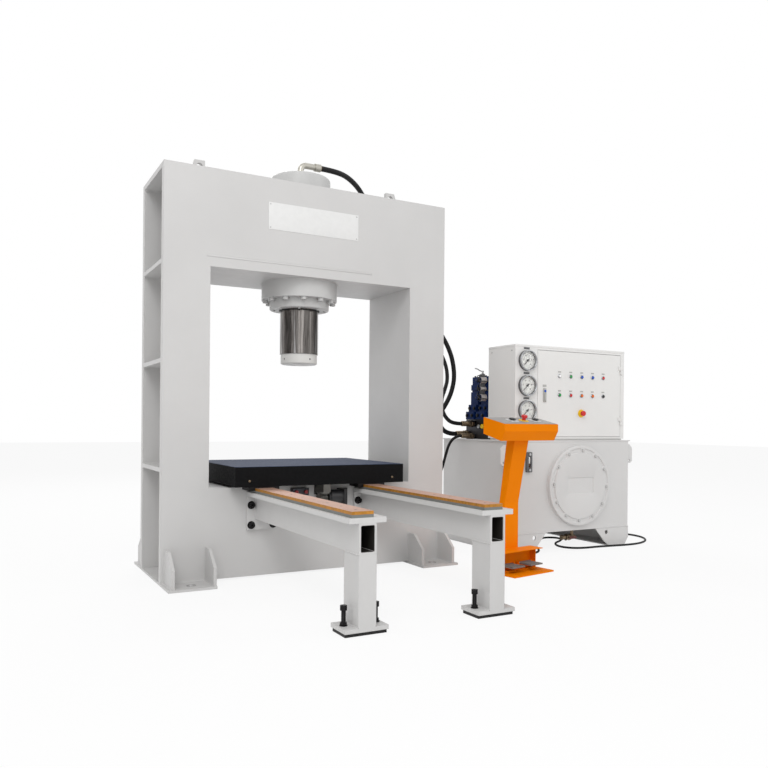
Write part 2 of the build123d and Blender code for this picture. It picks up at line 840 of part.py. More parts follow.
def lifting_ear(side):
    """A lifting ear on the tank's side wall, near its front."""
    edge = TANK_X[0] if side < 0 else TANK_X[1]
    top = TANK_Z[1] - EAR_DOWN
    outline = [
        (edge, top),
        (edge + side * EAR_W * 0.5, top),
        (edge + side * EAR_W, top - 30),
        (edge + side * EAR_W, top - EAR_H + 16),
        (edge + side * EAR_W * 0.7, top - EAR_H),
        (edge, top - EAR_H),
    ]
    front = tank_front + 2 * EAR_T
    ear = prism_y(outline, front, front + EAR_T)
    return ear - rod_y(EAR_HOLE_R, front - 1, front + EAR_T + 1, edge + side * EAR_W * 0.55, top - EAR_H + 22)


def tank_foot(side):
    """A full-depth skid foot, cut away on its inner side."""

    def across(inset):
        """The X at a distance in from the tank's own side wall."""
        x = TANK_X[1] - inset
        return x if side > 0 else mirrored(x)

    y0, y1 = TANK_Y
    foot = prism_y([(across(inset), z) for inset, z in SKID_OUTLINE], y0, y1)
    room = sorted(across(inset) for inset in SKID_ROOM)
    foot -= block(*room, y0 + SKID_WALL, y1 - SKID_WALL, SKID_WALL, TANK_Z[0] + 1)
    inset, z, radius = SKID_HOLE
    return foot - rod_y(radius, y0 - 1, y1 + 1, across(inset), z)


def manhole_cover():
    """The round cover with its raised blank pad."""
    cover = rod_y(MANHOLE_R, cover_front, cover_front + MANHOLE_T, MANHOLE_X, MANHOLE_Z)
    face = cover.edges().filter_by(GeomType.CIRCLE).sort_by(Axis.Y)[0]
    cover = fillet(face, 5)
    width, height = MANHOLE_PAD
    pad = block(
        MANHOLE_X - width / 2, MANHOLE_X + width / 2, cover_front - 4, cover_front,
        MANHOLE_Z - height / 2, MANHOLE_Z + height / 2,
    )
    cover += fillet(pad.edges().filter_by(Axis.Y), 12)
    hole_r = MANHOLE_BOLT_R + BOLT_GAP
    for x, z in on_circle(MANHOLE_BOLTS, MANHOLE_PCD / 2, 0.5):
        cover -= rod_y(hole_r, cover_front - 1, cover_front + MANHOLE_T + 1, MANHOLE_X + x, MANHOLE_Z + z)
    return cover


def manhole_bolts():
    """Hexagon bolts of the manhole cover."""
    head = extrude(Plane.XY.offset(-10) * RegularPolygon(11, 6), amount=10)
    bolt = head + rod_z(MANHOLE_BOLT_R, 0, MANHOLE_T + MANHOLE_RING_T)
    for x, z in on_circle(MANHOLE_BOLTS, MANHOLE_PCD / 2, 0.5):
        yield Pos(MANHOLE_X + x, cover_front, MANHOLE_Z + z) * Rot(-90, 0, 0) * bolt


def level_gauge():
    """The oil level gauge: a housing with a long window recess and two screws."""
    low, high = LEVEL_Z
    front = tank_front - LEVEL_T
    gauge = block(LEVEL_X - LEVEL_W / 2, LEVEL_X + LEVEL_W / 2, front, tank_front, low, high)
    gauge = fillet(gauge.edges().filter_by(Axis.Y), 8)
    half, end = LEVEL_SLOT_W / 2, LEVEL_SLOT_END
    gauge -= block(LEVEL_X - half, LEVEL_X + half, front - 1, front + 8, low + end, high - end)
    for z in (low + LEVEL_SLOT_END / 2, high - LEVEL_SLOT_END / 2):
        gauge += rod_y(LEVEL_SCREW_R, front - 6, front, LEVEL_X, z)
    return gauge


def drain_valve():
    """The ball valve that hangs under the tank's front."""
    z = TANK_Z[0] - DRAIN_DROP
    stem_x = DRAIN_X - DRAIN_STEM_X
    valve = rod_z(13, z, TANK_Z[0], DRAIN_X, DRAIN_Y)
    valve += rod_x(DRAIN_BODY_R, stem_x - 26, stem_x + 26, DRAIN_Y, z)
    valve += rod_x(DRAIN_BODY_R - 5, stem_x - 52, DRAIN_X + DRAIN_BODY_R, DRAIN_Y, z)
    return valve + rod_y(7, DRAIN_Y - DRAIN_BODY_R - 8, DRAIN_Y, stem_x, z)


def drain_handle():
    """The lever on the drain valve's stem."""
    z = TANK_Z[0] - DRAIN_DROP
    x, back = DRAIN_X - DRAIN_STEM_X, DRAIN_Y - DRAIN_BODY_R - 8 - SLIDE_GAP
    front = back - 5.7
    handle = rod_y(12, front, back, x, z)
    return handle + block(x, x + 50, front, front + 4, z - 8, z + 8)


save("tank_shell", tank_shell())
save("tank_feet", tank_foot(-1), tank_foot(1), lifting_ear(-1), lifting_ear(1))
save("manhole_cover", manhole_cover())
save("painted_bolts", *flange_bolts(), *manhole_bolts())
save("level_gauge", level_gauge())
save("drain_valve", drain_valve())
save("drain_handle", drain_handle())

# Electric cabinet


def cabinet_shell():
    """The cabinet's box on its plinth, open for the door, with hinge knuckles and a cable gland."""
    x0, x1 = CAB_X
    z0, z1 = CAB_Z
    wall = CAB_WALL
    shell = block(x0, x1, cab_front, CAB_Y[1], z0, z1)
    shell -= block(x0 + wall, x1 - wall, cab_front + wall, CAB_Y[1] - wall, z0 + wall, z1 - wall)
    shell -= block(
        DOOR_X[0] - DOOR_GAP, DOOR_X[1] + DOOR_GAP, cab_front - 1, cab_front + wall + 1,
        DOOR_Z[0] - DOOR_GAP, DOOR_Z[1] + DOOR_GAP,
    )
    shell += block(x0 + 12, x1 - 12, cab_front + 12, CAB_Y[1] - 12, TANK_Z[1], z0)
    for z in HINGE_Z:
        shell += block(hinge_x, hinge_x + 22, hinge_y - 1, cab_front, z - HINGE_H, z - HINGE_SLIT)
        shell += rod_z(HINGE_R, z - HINGE_H, z - HINGE_SLIT, hinge_x, hinge_y)
        shell += rod_z(PIN_R, z - HINGE_SLIT, z + HINGE_H, hinge_x, hinge_y)
    return shell + rod_x(GLAND_NUT_R, x1, x1 + GLAND_NUT_H, CABLE_Y, CABLE_Z)


def cabinet_door():
    """The pan-shaped door with its holes and its half of the hinges."""
    wall = CAB_WALL
    back = cab_front + DOOR_T
    door = block(*DOOR_X, cab_front, back, *DOOR_Z)
    door -= block(
        DOOR_X[0] + wall, DOOR_X[1] - wall, cab_front + wall, back + 1, DOOR_Z[0] + wall, DOOR_Z[1] - wall
    )
    for z in BUTTON_Z:
        for x in BUTTON_X:
            door -= rod_y(BUTTON_R + SLIDE_GAP, cab_front - 1, cab_front + wall + 1, x, z)
    door -= rod_y(ESTOP_STEM_R + SLIDE_GAP, cab_front - 1, cab_front + wall + 1, ESTOP_X, ESTOP_Z)
    for z in HINGE_Z:
        leaf = block(hinge_x - 24, hinge_x, hinge_y - 1, cab_front, z + SLIDE_GAP, z + HINGE_H)
        leaf += rod_z(HINGE_R, z + SLIDE_GAP, z + HINGE_H, hinge_x, hinge_y)
        door += leaf - rod_z(PIN_R + RUNNING_GAP, z, z + HINGE_H + 1, hinge_x, hinge_y)
    return door


def cabinet_gear():
    """The mounting plate on its studs, with ducts and rows of switchgear."""
    back = CAB_Y[1] - CAB_WALL
    face = back - GEAR_STUD
    front = face - CAB_WALL
    x0, x1 = CAB_X[0] + GEAR_MARGIN, CAB_X[1] - GEAR_MARGIN
    z0, z1 = CAB_Z[0] + GEAR_EDGE, CAB_Z[1] - GEAR_EDGE
    edge = GEAR_MARGIN / 2
    pieces = [block(x0, x1, front, face, z0, z1)]
    for x in (x0 + edge, x1 - edge):
        for z in (z0 + edge, z1 - edge):
            pieces.append(rod_y(6, face, back, x, z))
    depth, half = DUCT_SIZE
    for row in DUCT_ROWS:
        pieces.append(block(x0 + edge, x1 - edge, front - depth, front, z0 + row - half, z0 + row + half))
    for row, count, width, depth, height in GEAR_ROWS:
        step = (x1 - x0 - 2 * GEAR_MARGIN) / count
        low = z0 + row - height / 2
        for i in range(count):
            x = x0 + GEAR_MARGIN + i * step
            pieces.append(block(x, x + width, front - depth, front, low, low + height))
    return pieces


def gauge_case(z):
    """One gauge: a case with a recessed dial and the needle's pin."""
    front = cab_front - GAUGE_DEPTH
    case = rod_y(GAUGE_R, front, cab_front, GAUGE_X, z)
    case -= rod_y(GAUGE_R - 8, front - 1, cab_front - GAUGE_FACE, GAUGE_X, z)
    return case + rod_y(NEEDLE_PIN_R, cab_front - GAUGE_FACE - 9, cab_front - GAUGE_FACE, GAUGE_X, z)


def gauge_needle(z):
    """A tapered needle with its hub, at rest pointing down to the left."""
    y = cab_front - GAUGE_FACE - 7
    needle = prism_y([(-3, -18), (3, -18), (1, 54), (-1, 54)], y, y + 1.5)
    needle += rod_y(NEEDLE_HUB_R, y, y + 5, 0, 0)
    needle -= rod_y(NEEDLE_PIN_R + RUNNING_GAP, y - 1, y + 6, 0, 0)
    return Pos(GAUGE_X, 0, z) * Rot(0, -NEEDLE_REST, 0) * needle


def door_rings():
    """What is fixed in the door: button bezels, lamps, the stop's plate and the lock plate."""
    for row, z in enumerate(BUTTON_Z):
        for column, x in enumerate(BUTTON_X):
            ring = rod_y(BEZEL_R, cab_front - BEZEL_H, cab_front, x, z)
            if row == 0 and column in LAMP_COLUMNS:
                lens = rod_y(BUTTON_R, cab_front - BUTTON_H, cab_front + DOOR_T, x, z)
                rim = lens.edges().filter_by(GeomType.CIRCLE).sort_by(Axis.Y)[0]
                yield ring + fillet(rim, 5)
            else:
                yield ring - rod_y(BUTTON_R + SLIDE_GAP, cab_front - BEZEL_H - 1, cab_front + 1, x, z)
    plate = rod_y(ESTOP_PLATE_R, cab_front - 4, cab_front, ESTOP_X, ESTOP_Z)
    yield plate - rod_y(ESTOP_STEM_R + SLIDE_GAP, cab_front - 5, cab_front + 1, ESTOP_X, ESTOP_Z)
    half, rise = LOCK_SIZE[0] / 2, LOCK_SIZE[1] / 2
    lock = block(LOCK_X - half, LOCK_X + half, cab_front - 8, cab_front, LOCK_Z - rise, LOCK_Z + rise)
    yield fillet(lock.edges().filter_by(Axis.Y), 9)


def push_button(x, z):
    """A door button with the collar that keeps it behind the door's skin."""
    skin = cab_front + CAB_WALL
    button = rod_y(BUTTON_R, cab_front - BUTTON_H, cab_front + DOOR_T, x, z)
    rim = button.edges().filter_by(GeomType.CIRCLE).sort_by(Axis.Y)[0]
    return fillet(rim, 1.5) + rod_y(BUTTON_R + 3, skin + SLIDE_GAP, skin + SLIDE_GAP + 3, x, z)


def stop_button(cap_r, stem_r, skin, cap_h, reach):
    """A mushroom button along +Z, pressed towards -Z, with its collar under the skin."""
    cap = rod_z(cap_r, reach - cap_h, reach)
    rim = cap.edges().filter_by(GeomType.CIRCLE).sort_by(Axis.Z)[-1]
    button = fillet(rim, cap_h * 0.35) + rod_z(stem_r, -16, reach - cap_h)
    return button + rod_z(stem_r + 3, -skin - SLIDE_GAP - 3, -skin - SLIDE_GAP)


def door_estop():
    """The door's emergency stop."""
    cap = stop_button(ESTOP_CAP_R, ESTOP_STEM_R, CAB_WALL, 16, 36)
    return Pos(ESTOP_X, cab_front, ESTOP_Z) * Rot(90, 0, 0) * cap


save("cabinet_shell", cabinet_shell())
save("cabinet_door", cabinet_door())
save("cabinet_gear", *cabinet_gear())
save("gauge_cases", *[gauge_case(z) for z in GAUGE_Z])
for place, z in zip(("upper", "middle", "lower"), GAUGE_Z):
    save(f"needle_{place}", gauge_needle(z))
save("door_rings", *door_rings())
save("button_blue_left", push_button(BUTTON_X[2], BUTTON_Z[0]))
save("button_blue_right", push_button(BUTTON_X[3], BUTTON_Z[0]))
for column, colour in enumerate(("green", "red", "orange_left", "orange_right", "black")):
    save(f"button_{colour}", push_button(BUTTON_X[column], BUTTON_Z[1]))
save("door_estop", door_estop())

# Valves and pump


def valve_block():
    """The manifold with its hose fittings and plugs."""
    manifold = block(*BLOCK_X, *BLOCK_Y, *BLOCK_Z)
    manifold = chamfer(manifold.edges().filter_by(Axis.Z), 4)
    for y, z, r in (
        (PORT_Y, MAIN_PORT_Z, MAIN_HOSE_R),
        (RETURN_PORT_Y, RETURN_PORT_Z, RETURN_HOSE_R),
        (TABLE_PORT_Y, TABLE_PORT_Z, TABLE_HOSE_R),
    ):
        manifold += rod_x(r + 5, PORT_END, PORT_END + PORT_FERRULE, y, z)
        manifold += rod_x(r, PORT_END + PORT_FERRULE, BLOCK_X[0] - PORT_NUT, y, z)
        manifold += rod_x(r + 8, BLOCK_X[0] - PORT_NUT, BLOCK_X[0], y, z)
    for y in PLUG_Y:
        manifold += rod_x(PLUG_R, BLOCK_X[0] - 12, BLOCK_X[0], y, PLUG_Z)
    return manifold


def valve_stack(y, coils):
    """One station: sandwich plates, a valve body and the coils on its left side."""
    right = BLOCK_X[1] - STACK_INSET
    stack = None
    top = BLOCK_Z[1]
    for shift, height, half in STACK_LAYERS:
        layer = block(BLOCK_X[0] + shift, right, y - half, y + half, top, top + height)
        stack = layer if stack is None else stack + layer
        top += height
    for rise, radius in coils:
        z = BLOCK_Z[1] + rise
        end = BLOCK_X[0] - COIL_REACH
        stack += rod_x(radius, end, BLOCK_X[0] + STACK_INSET, y, z)
        stack += rod_x(radius * COIL_NUT_SHARE, end - COIL_NUT_H, end, y, z)
    return stack


def pump_motor():
    """The pump's motor on its bell housing, with cooling fins, fan cover and terminal box."""
    x, y = PUMP_AT
    base, bell, fan, top = [TANK_Z[1] + level for level in PUMP_LEVELS]
    motor = rod_z(PUMP_BODY_R + 32, TANK_Z[1], base, x, y) + rod_z(PUMP_BODY_R - 8, base, bell, x, y)
    motor += rod_z(PUMP_BODY_R, bell, fan, x, y)
    for i in range(PUMP_FINS):
        fin = block(PUMP_BODY_R - 4, PUMP_BODY_R + 13, -FIN_T / 2, FIN_T / 2, bell + 30, fan - 20)
        motor += Pos(x, y, 0) * Rot(0, 0, 360 * i / PUMP_FINS) * fin
    motor += rod_z(PUMP_BODY_R + 15, fan, top, x, y)
    return motor + block(x - 55, x + 55, y + PUMP_BODY_R - 6, y + PUMP_BODY_R + 57, bell + 100, bell + 210)


save("valve_block", valve_block())
save("valve_stacks", valve_stack(STATION_Y[0], COILS), valve_stack(STATION_Y[1], ()))
save("pump_motor", pump_motor())

# Operator pedestal, in its own (u, v) directions from the base's front left corner


def console_floor(v):
    """The height of the console's underside at a distance from the front."""
    (v0, z0), (v1, z1) = CONSOLE_PROFILE[4], CONSOLE_PROFILE[3]
    return z0 + (v - v0) * (z1 - z0) / (v1 - v0)


def stand():
    """The base with the pedal guard, the pedal brackets and the bent post, all welded."""
    base = block(0, STAND_W, 0, STAND_D, 0, STAND_T)
    base += block(0, STAND_W, GUARD_V, POST_V, GUARD_Z - GUARD_T, GUARD_Z)
    base += block(0, STAND_W, POST_V - GUARD_T, POST_V, STAND_T, GUARD_Z)
    for u in (0, STAND_W - GUARD_T):
        base += block(u, u + GUARD_T, POST_V - GUARD_CHEEK, POST_V, STAND_T, GUARD_Z)
    front, back = POST_V, POST_V + POST_DEPTH
    head_front = front - POST_LEAN
    head_back = head_front + POST_HEAD
    post = [
        (front, STAND_T),
        (front, POST_KNEE),
        (head_front, console_floor(head_front)),
        (head_back, console_floor(head_back)),
        (back, POST_KNEE),
        (back, STAND_T),
    ]
    base += prism_x(post, POST_U, POST_U + POST_W)
    for u in PEDAL_U:
        for ear in (u, u + PEDAL_W - PEDAL_EAR_T):
            base += block(ear, ear + PEDAL_EAR_T, PEDAL_V - 10, PEDAL_V + 10, STAND_T, PEDAL_Z + 12)
        base += rod_x(PEDAL_PIN_R, u, u + PEDAL_W, PEDAL_V, PEDAL_Z)
        base += block(u + 30, u + PEDAL_W - 30, PEDAL_V - 45, PEDAL_V - 12, STAND_T, STAND_T + 10)
    return base + rod_y(CABLE_BUSH_R, back, back + CABLE_BUSH_H, POST_U + POST_W / 2, CABLE_BUSH_Z)


def pedal(u):
    """A treadle on its pin, with a ribbed upper face."""
    u0, u1 = u + PEDAL_EAR_T + BOLT_GAP, u + PEDAL_W - PEDAL_EAR_T - BOLT_GAP
    top = PEDAL_Z + TREAD_HALF_T
    tread = block(u0, u1, PEDAL_FRONT, PEDAL_V, PEDAL_Z - TREAD_HALF_T, top)
    tread += rod_x(PEDAL_HUB_R, u0, u1, PEDAL_V, PEDAL_Z)
    for v in range(PEDAL_FRONT + 12, PEDAL_V - 20, TREAD_PITCH):
        tread += block(u0 + 8, u1 - 8, v, v + 5, top, top + 2)
    return tread - rod_x(PEDAL_PIN_R + RUNNING_GAP, u0 - 1, u1 + 1, PEDAL_V, PEDAL_Z)


def on_panel(u):
    """The place of a button on the console's sloping panel."""
    front, back = CONSOLE_PROFILE[1], CONSOLE_PROFILE[2]
    middle = ((front[0] + back[0]) / 2, (front[1] + back[1]) / 2)
    return Pos(u, *middle) * Rot(panel_slope, 0, 0)


def console():
    """The folded console with plates for its three buttons."""
    u0, u1 = CONSOLE_U, CONSOLE_U + CONSOLE_W
    outer = prism_x(CONSOLE_PROFILE, u0, u1)
    box = outer - prism_x(CONSOLE_ROOM, u0 + CONSOLE_WALL, u1 - CONSOLE_WALL)
    half, thick = BUTTON_PLATE, BUTTON_PLATE_T
    stem_hole = rod_z(PANEL_STEM_R + SLIDE_GAP, -10, thick + 1)
    for u in PALM_U:
        box += on_panel(u) * block(-half, half, -half, half, -0.5, thick)
        box -= on_panel(u) * stem_hole
    box += on_panel(CONSOLE_ESTOP_U) * rod_z(ESTOP_PLATE_R, -0.5, thick)
    return box - on_panel(CONSOLE_ESTOP_U) * stem_hole


def console_button(u, cap_r, reach):
    """A mushroom button on the console."""
    return on_panel(u) * stop_button(cap_r, PANEL_STEM_R, 5, 18, reach)


save("stand", stand_place * stand())
save("console", stand_place * console())
for side, u in zip(("left", "right"), PEDAL_U):
    save(f"pedal_{side}", stand_place * pedal(u))
for side, u in zip(("left", "right"), PALM_U):
    save(f"palm_{side}", stand_place * console_button(u, PALM_R, PALM_REACH))
save("console_estop", stand_place * console_button(CONSOLE_ESTOP_U, ESTOP_CAP_R, STOP_REACH))

# Hoses and the control cable

MAIN_ROUTE = (
    (ELBOW_END, 0, ELBOW_Z),
    (255, 0, ELBOW_Z),
    (400, 85, 2676),
    (560, 200, 2632),
    (710, 325, 2510),
    (840, 420, 2310),
    (985, 455, 2080),
    (1160, 435, 1890),
    (1340, 395, 1730),
    (1455, 360, 1540),
    (1487, 340, 1350),
    (1452, 326, 1210),
    (1388, 314, 1105),
    (1325, 306, 1030),
    (1316, 302, 935),
    (1388, PORT_Y, MAIN_PORT_Z),
    (PORT_END, PORT_Y, MAIN_PORT_Z),
)
RETURN_ROUTE = (
    BACK_PORT,
    (600, 430, 2010),
    (690, 515, 1998),
    (850, 540, 1955),
    (1040, 515, 1870),
    (1215, 465, 1745),
    (1345, 415, 1595),
    (1418, 372, 1440),
    (1410, 325, 1305),
    (1350, 280, 1210),
    (1300, 250, 1140),
    (1294, 232, 1060),
    (1330, RETURN_PORT_Y, 990),
    (1396, RETURN_PORT_Y, RETURN_PORT_Z),
    (PORT_END, RETURN_PORT_Y, RETURN_PORT_Z),
)
TABLE_ROUTE = (
    (PORT_END, TABLE_PORT_Y, TABLE_PORT_Z),
    (1425, TABLE_PORT_Y, TABLE_PORT_Z),
    (1380, 255, 795),
    (1365, 285, 690),
    (1352, 325, 560),
    (1300, 380, 440),
    (1195, 425, 345),
    (1060, 450, 285),
    (900, 465, 255),
    (740, 480, 248),
    (610, 480, 250),
    (510, 450, 250),
    (480, 405, 250),
    BED_PORT,
)
CABLE_START_V = POST_V + POST_DEPTH + CABLE_BUSH_H
CABLE_START = ((0, 0, 30), (0, 62, 30), (14, 140, 14), (60, 215, 9), (150, 265, 9))


def cable_route():
    """The cable's points: off the pedestal, along the floor, under the tank and up its far side."""
    points = []
    for u, v, z in CABLE_START:
        place = stand_place * Pos(POST_U + POST_W / 2 + u, CABLE_START_V + v, z)
        points.append(tuple(place.position))
    floor = CABLE_R + 1
    return (
        *points,
        (1375, -462, floor),
        (1490, -432, floor),
        (1615, -418, floor),
        (1735, -392, floor),
        (1822, -310, floor),
        (1885, -200, floor),
        (1975, -95, floor),
        (2080, 10, floor),
        (2180, 105, floor),
        (2275, 150, floor),
        (2350, 110, floor),
        (2345, 25, floor),
        (2265, -45, floor),
        (2165, -100, floor),
        (2090, -185, floor),
        (2065, -285, floor),
        (2115, -365, floor),
        (2215, -392, floor),
        (2335, -390, floor),
        (2460, -405, floor),
        (2600, -425, floor),
        (2740, -420, floor),
        (2870, -370, floor),
        (2980, -280, floor),
        (3050, -160, floor),
        (3060, -30, floor),
        (3000, 70, floor),
        (2905, 112, floor + 4),
        (2820, 90, 45),
        (2775, 40, 130),
        (2758, -10, 250),
        (2755, -50, 400),
        (2760, -82, 560),
        (2757, -97, 700),
        (2757, CABLE_Y, 815),
        (2757, CABLE_Y, CABLE_Z),
        (CAB_X[1] + GLAND_NUT_H, CABLE_Y, CABLE_Z),
    )


def cord(name, points, radius):
    """A tube along straight runs joined by arcs as large as the runs allow."""
    route = [Vector(*point) for point in points]
    runs = [b - a for a, b in zip(route, route[1:])]
    radii = []
    for before, after in zip(runs, runs[1:]):
        turn = math.radians(before.get_angle(after))
        radii.append(0.45 * min(before.length, after.length) / math.tan(turn / 2))
    path = FilletPolyline(*points, radius=radii)
    tube = sweep(Plane(origin=path @ 0, z_dir=path % 0) * Circle(radius), path=path)
    print(name, "length in millimetres", round(path.length))
    save(name, tube)


cord("main_hose", MAIN_ROUTE, MAIN_HOSE_R)
cord("return_hose", RETURN_ROUTE, RETURN_HOSE_R)
cord("table_hose", TABLE_ROUTE, TABLE_HOSE_R)
cord("control_cable", cable_route(), CABLE_R)
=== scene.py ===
"""Dresses the hydraulic press set: finishes, trim, dials, hoses, floor, light and camera."""

import logging
import math
from dataclasses import dataclass
from enum import Enum
from functools import cache
from typing import Iterable, Sequence

import bmesh
import bpy
from mathutils import Matrix, Vector


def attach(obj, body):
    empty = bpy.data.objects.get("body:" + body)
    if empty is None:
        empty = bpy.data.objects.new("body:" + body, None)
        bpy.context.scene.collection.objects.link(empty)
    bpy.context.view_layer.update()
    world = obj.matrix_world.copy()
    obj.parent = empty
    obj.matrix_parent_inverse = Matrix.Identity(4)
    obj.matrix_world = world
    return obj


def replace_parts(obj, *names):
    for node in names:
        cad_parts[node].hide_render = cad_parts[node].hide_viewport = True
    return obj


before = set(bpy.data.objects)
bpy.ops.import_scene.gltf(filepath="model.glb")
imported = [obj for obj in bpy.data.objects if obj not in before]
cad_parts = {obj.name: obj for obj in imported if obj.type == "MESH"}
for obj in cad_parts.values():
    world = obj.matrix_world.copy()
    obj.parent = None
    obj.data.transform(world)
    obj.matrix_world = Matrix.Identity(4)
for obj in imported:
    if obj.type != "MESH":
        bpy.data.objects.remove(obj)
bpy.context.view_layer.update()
LOG = logging.getLogger("press")

Pair = tuple[float, float]
Point = tuple[float, float, float]
Colour = tuple[float, float, float]
Shade = tuple[int, int, int]
Profile = Sequence[Pair]
Piece = bpy.types.Object
Socket = bpy.types.NodeSocket
Vert = bmesh.types.BMVert

MM = 0.001
WHITE = (1.0, 1.0, 1.0)


class Side(Enum):
    """Which side of the middle a piece stands on."""

    LEFT = -1
    RIGHT = 1


def srgb(shade: Shade) -> Colour:
    """Turns a colour as a screen shows it into the linear one that a shader takes.

    Args:
        shade: Red, green and blue, 0 to 255.

    Returns:
        The linear colour.
    """
    shares = [value / 255 for value in shade]
    return tuple(s / 12.92 if s <= 0.04045 else ((s + 0.055) / 1.055) ** 2.4 for s in shares)


def scaled(colour: Colour, share: float) -> Colour:
    """The colour made lighter or darker."""
    return tuple(min(1.0, channel * share) for channel in colour)


class Graph:
    """A node tree, with short ways to add what finishes and lights need."""

    def __init__(self, tree: bpy.types.NodeTree) -> None:
        """Starts with an empty tree."""
        self.tree = tree
        tree.nodes.clear()

    def feed(self, socket: Socket, source: object) -> None:
        """Links a socket to an output, or sets its value.

        Args:
            socket: What is fed.
            source: An output, a number, a vector or a colour.
        """
        if isinstance(source, Socket):
            self.tree.links.new(source, socket)
        else:
            socket.default_value = (*source, 1.0) if socket.type == "RGBA" else source

    def add(self, kind: str, inputs: dict, **values: object) -> bpy.types.Node:
        """Adds a node.

        Args:
            kind: Its type, without the common first part.
            inputs: What feeds its sockets, by name or number.
            **values: Its properties by name.

        Returns:
            The new node.
        """
        node = self.tree.nodes.new("ShaderNode" + kind)
        for name, value in values.items():
            setattr(node, name, value)
        for key, source in inputs.items():
            self.feed(node.inputs[key], source)
        return node

    def math(self, operation: str, first: object, second: object) -> Socket:
        """A math node's result."""
        return self.add("Math", {0: first, 1: second}, operation=operation).outputs[0]

    def seen(self) -> Socket:
        """One for the eye, a gloss or a glass, and nothing for light.

        Returns:
            The factor.
        """
        rays = self.add("LightPath", {}).outputs
        seen = self.math("MAXIMUM", rays["Is Camera Ray"], rays["Is Glossy Ray"])
        return self.math("MAXIMUM", seen, rays["Is Transmission Ray"])


class Skin(Graph):
    """A material with one principled shader."""

    def __init__(self, name: str) -> None:
        """Starts an empty material.

        Args:
            name: The material's name.
        """
        self.material = bpy.data.materials.new(name)
        self.material.use_nodes = True
        super().__init__(self.material.node_tree)
        self.shader = self.add("BsdfPrincipled", {})
        self.output = self.add("OutputMaterial", {"Surface": self.shader.outputs[0]})
        self.coords = self.add("TexCoord", {}).outputs

    def noise(self, scale: float, detail: float = 3.0, stretch: Point = (1.0, 1.0, 1.0)) -> Socket:
        """A noise in the piece's own metres.

        Args:
            scale: How many blotches lie in a metre.
            detail: How many finer layers it has.
            stretch: The share of the scale along each axis.

        Returns:
            The noise's factor.
        """
        place = self.add("Mapping", {"Vector": self.coords["Object"], "Scale": stretch}).outputs[0]
        return self.add("TexNoise", {"Vector": place, "Scale": scale, "Detail": detail}).outputs["Fac"]

    def span(self, factor: Socket, low: float, high: float) -> Socket:
        """Spreads a noise between two values."""
        ends = {"From Min": 0.3, "From Max": 0.7, "To Min": low, "To Max": high}
        return self.add("MapRange", {"Value": factor, **ends}).outputs["Result"]

    def mix(self, factor: Socket, first: object, second: object) -> Socket:
        """Mixes two colours by a factor."""
        return self.add("Mix", {"Factor": factor, 6: first, 7: second}, data_type="RGBA").outputs[2]

    def between(self, factor: Socket, first: object, second: object) -> Socket:
        """Mixes two numbers by a factor."""
        return self.add("Mix", {"Factor": factor, 2: first, 3: second}, data_type="FLOAT").outputs[0]

    def ramp(self, factor: Socket, stops: Sequence[tuple[float, Colour]]) -> Socket:
        """A colour ramp.

        Args:
            factor: What it reads.
            stops: Places and their linear colours.

        Returns:
            The ramp's colour.
        """
        node = self.add("ValToRGB", {"Fac": factor})
        elements = node.color_ramp.elements
        while len(elements) < len(stops):
            elements.new(0.5)
        for element, (place, colour) in zip(elements, stops):
            element.position, element.color = place, (*colour, 1.0)
        return node.outputs["Color"]

    def relief(self, height: Socket, depth: float, rounding: float = 0.0) -> None:
        """Sets the shader's normal.

        Args:
            height: What the bump reads.
            depth: The bump's height in metres.
            rounding: The radius that worn or broken edges show, in metres.
        """
        bump = self.add("Bump", {"Distance": depth, "Height": height})
        if rounding:
            bevel = self.add("Bevel", {"Radius": rounding}, samples=4)
            self.feed(bump.inputs["Normal"], bevel.outputs[0])
        self.surface({"Normal": bump.outputs[0]})

    def surface(self, sources: dict[str, object]) -> None:
        """Feeds the shader's sockets by name."""
        for name, source in sources.items():
            self.feed(self.shader.inputs[name], source)


@dataclass(frozen=True)
class Finish:
    """A coat or a bare surface. Each kind says how it dresses its skin."""

    name: str
    shade: Shade = (255, 255, 255)
    roughness: float = 0.3

    def rough(self, skin: Skin, noise: Socket, less: float, more: float) -> Socket:
        """The roughness, spread by a noise."""
        return skin.span(noise, self.roughness - less, self.roughness + more)

    def dress(self, skin: Skin, colour: Colour) -> None:
        """Adds the finish's own nodes to the skin."""

    def build(self) -> bpy.types.Material:
        """Makes the material.

        Returns:
            The material.
        """
        skin = Skin(self.name)
        self.dress(skin, srgb(self.shade))
        return skin.material


@dataclass(frozen=True)
class PaintFinish(Finish):
    """Paint or powder coat over metal, with a faint orange peel and soft edges."""

    roughness: float = 0.42
    peel: float = 0.00025
    peel_scale: float = 260.0
    blotch: float = 0.94
    rounding: float = 0.0025
    shine: float = 0.5

    def dress(self, skin: Skin, colour: Colour) -> None:
        """Adds broad and fine blotches and the peel.

        Args:
            skin: The material in the making.
            colour: The paint's linear colour.
        """
        wide, cloud = skin.noise(2.3, 4.0), skin.noise(17.0, 5.0)
        tone = skin.mix(skin.span(wide, 0.0, 1.0), scaled(colour, self.blotch), colour)
        tone = skin.mix(skin.span(cloud, 0.0, 0.25), tone, scaled(colour, 0.5 + self.blotch / 2))
        skin.surface({"Base Color": tone, "Roughness": self.rough(skin, cloud, 0.06, 0.08)})
        skin.surface({"Specular IOR Level": self.shine})
        skin.relief(skin.noise(self.peel_scale, 2.0), self.peel, self.rounding)


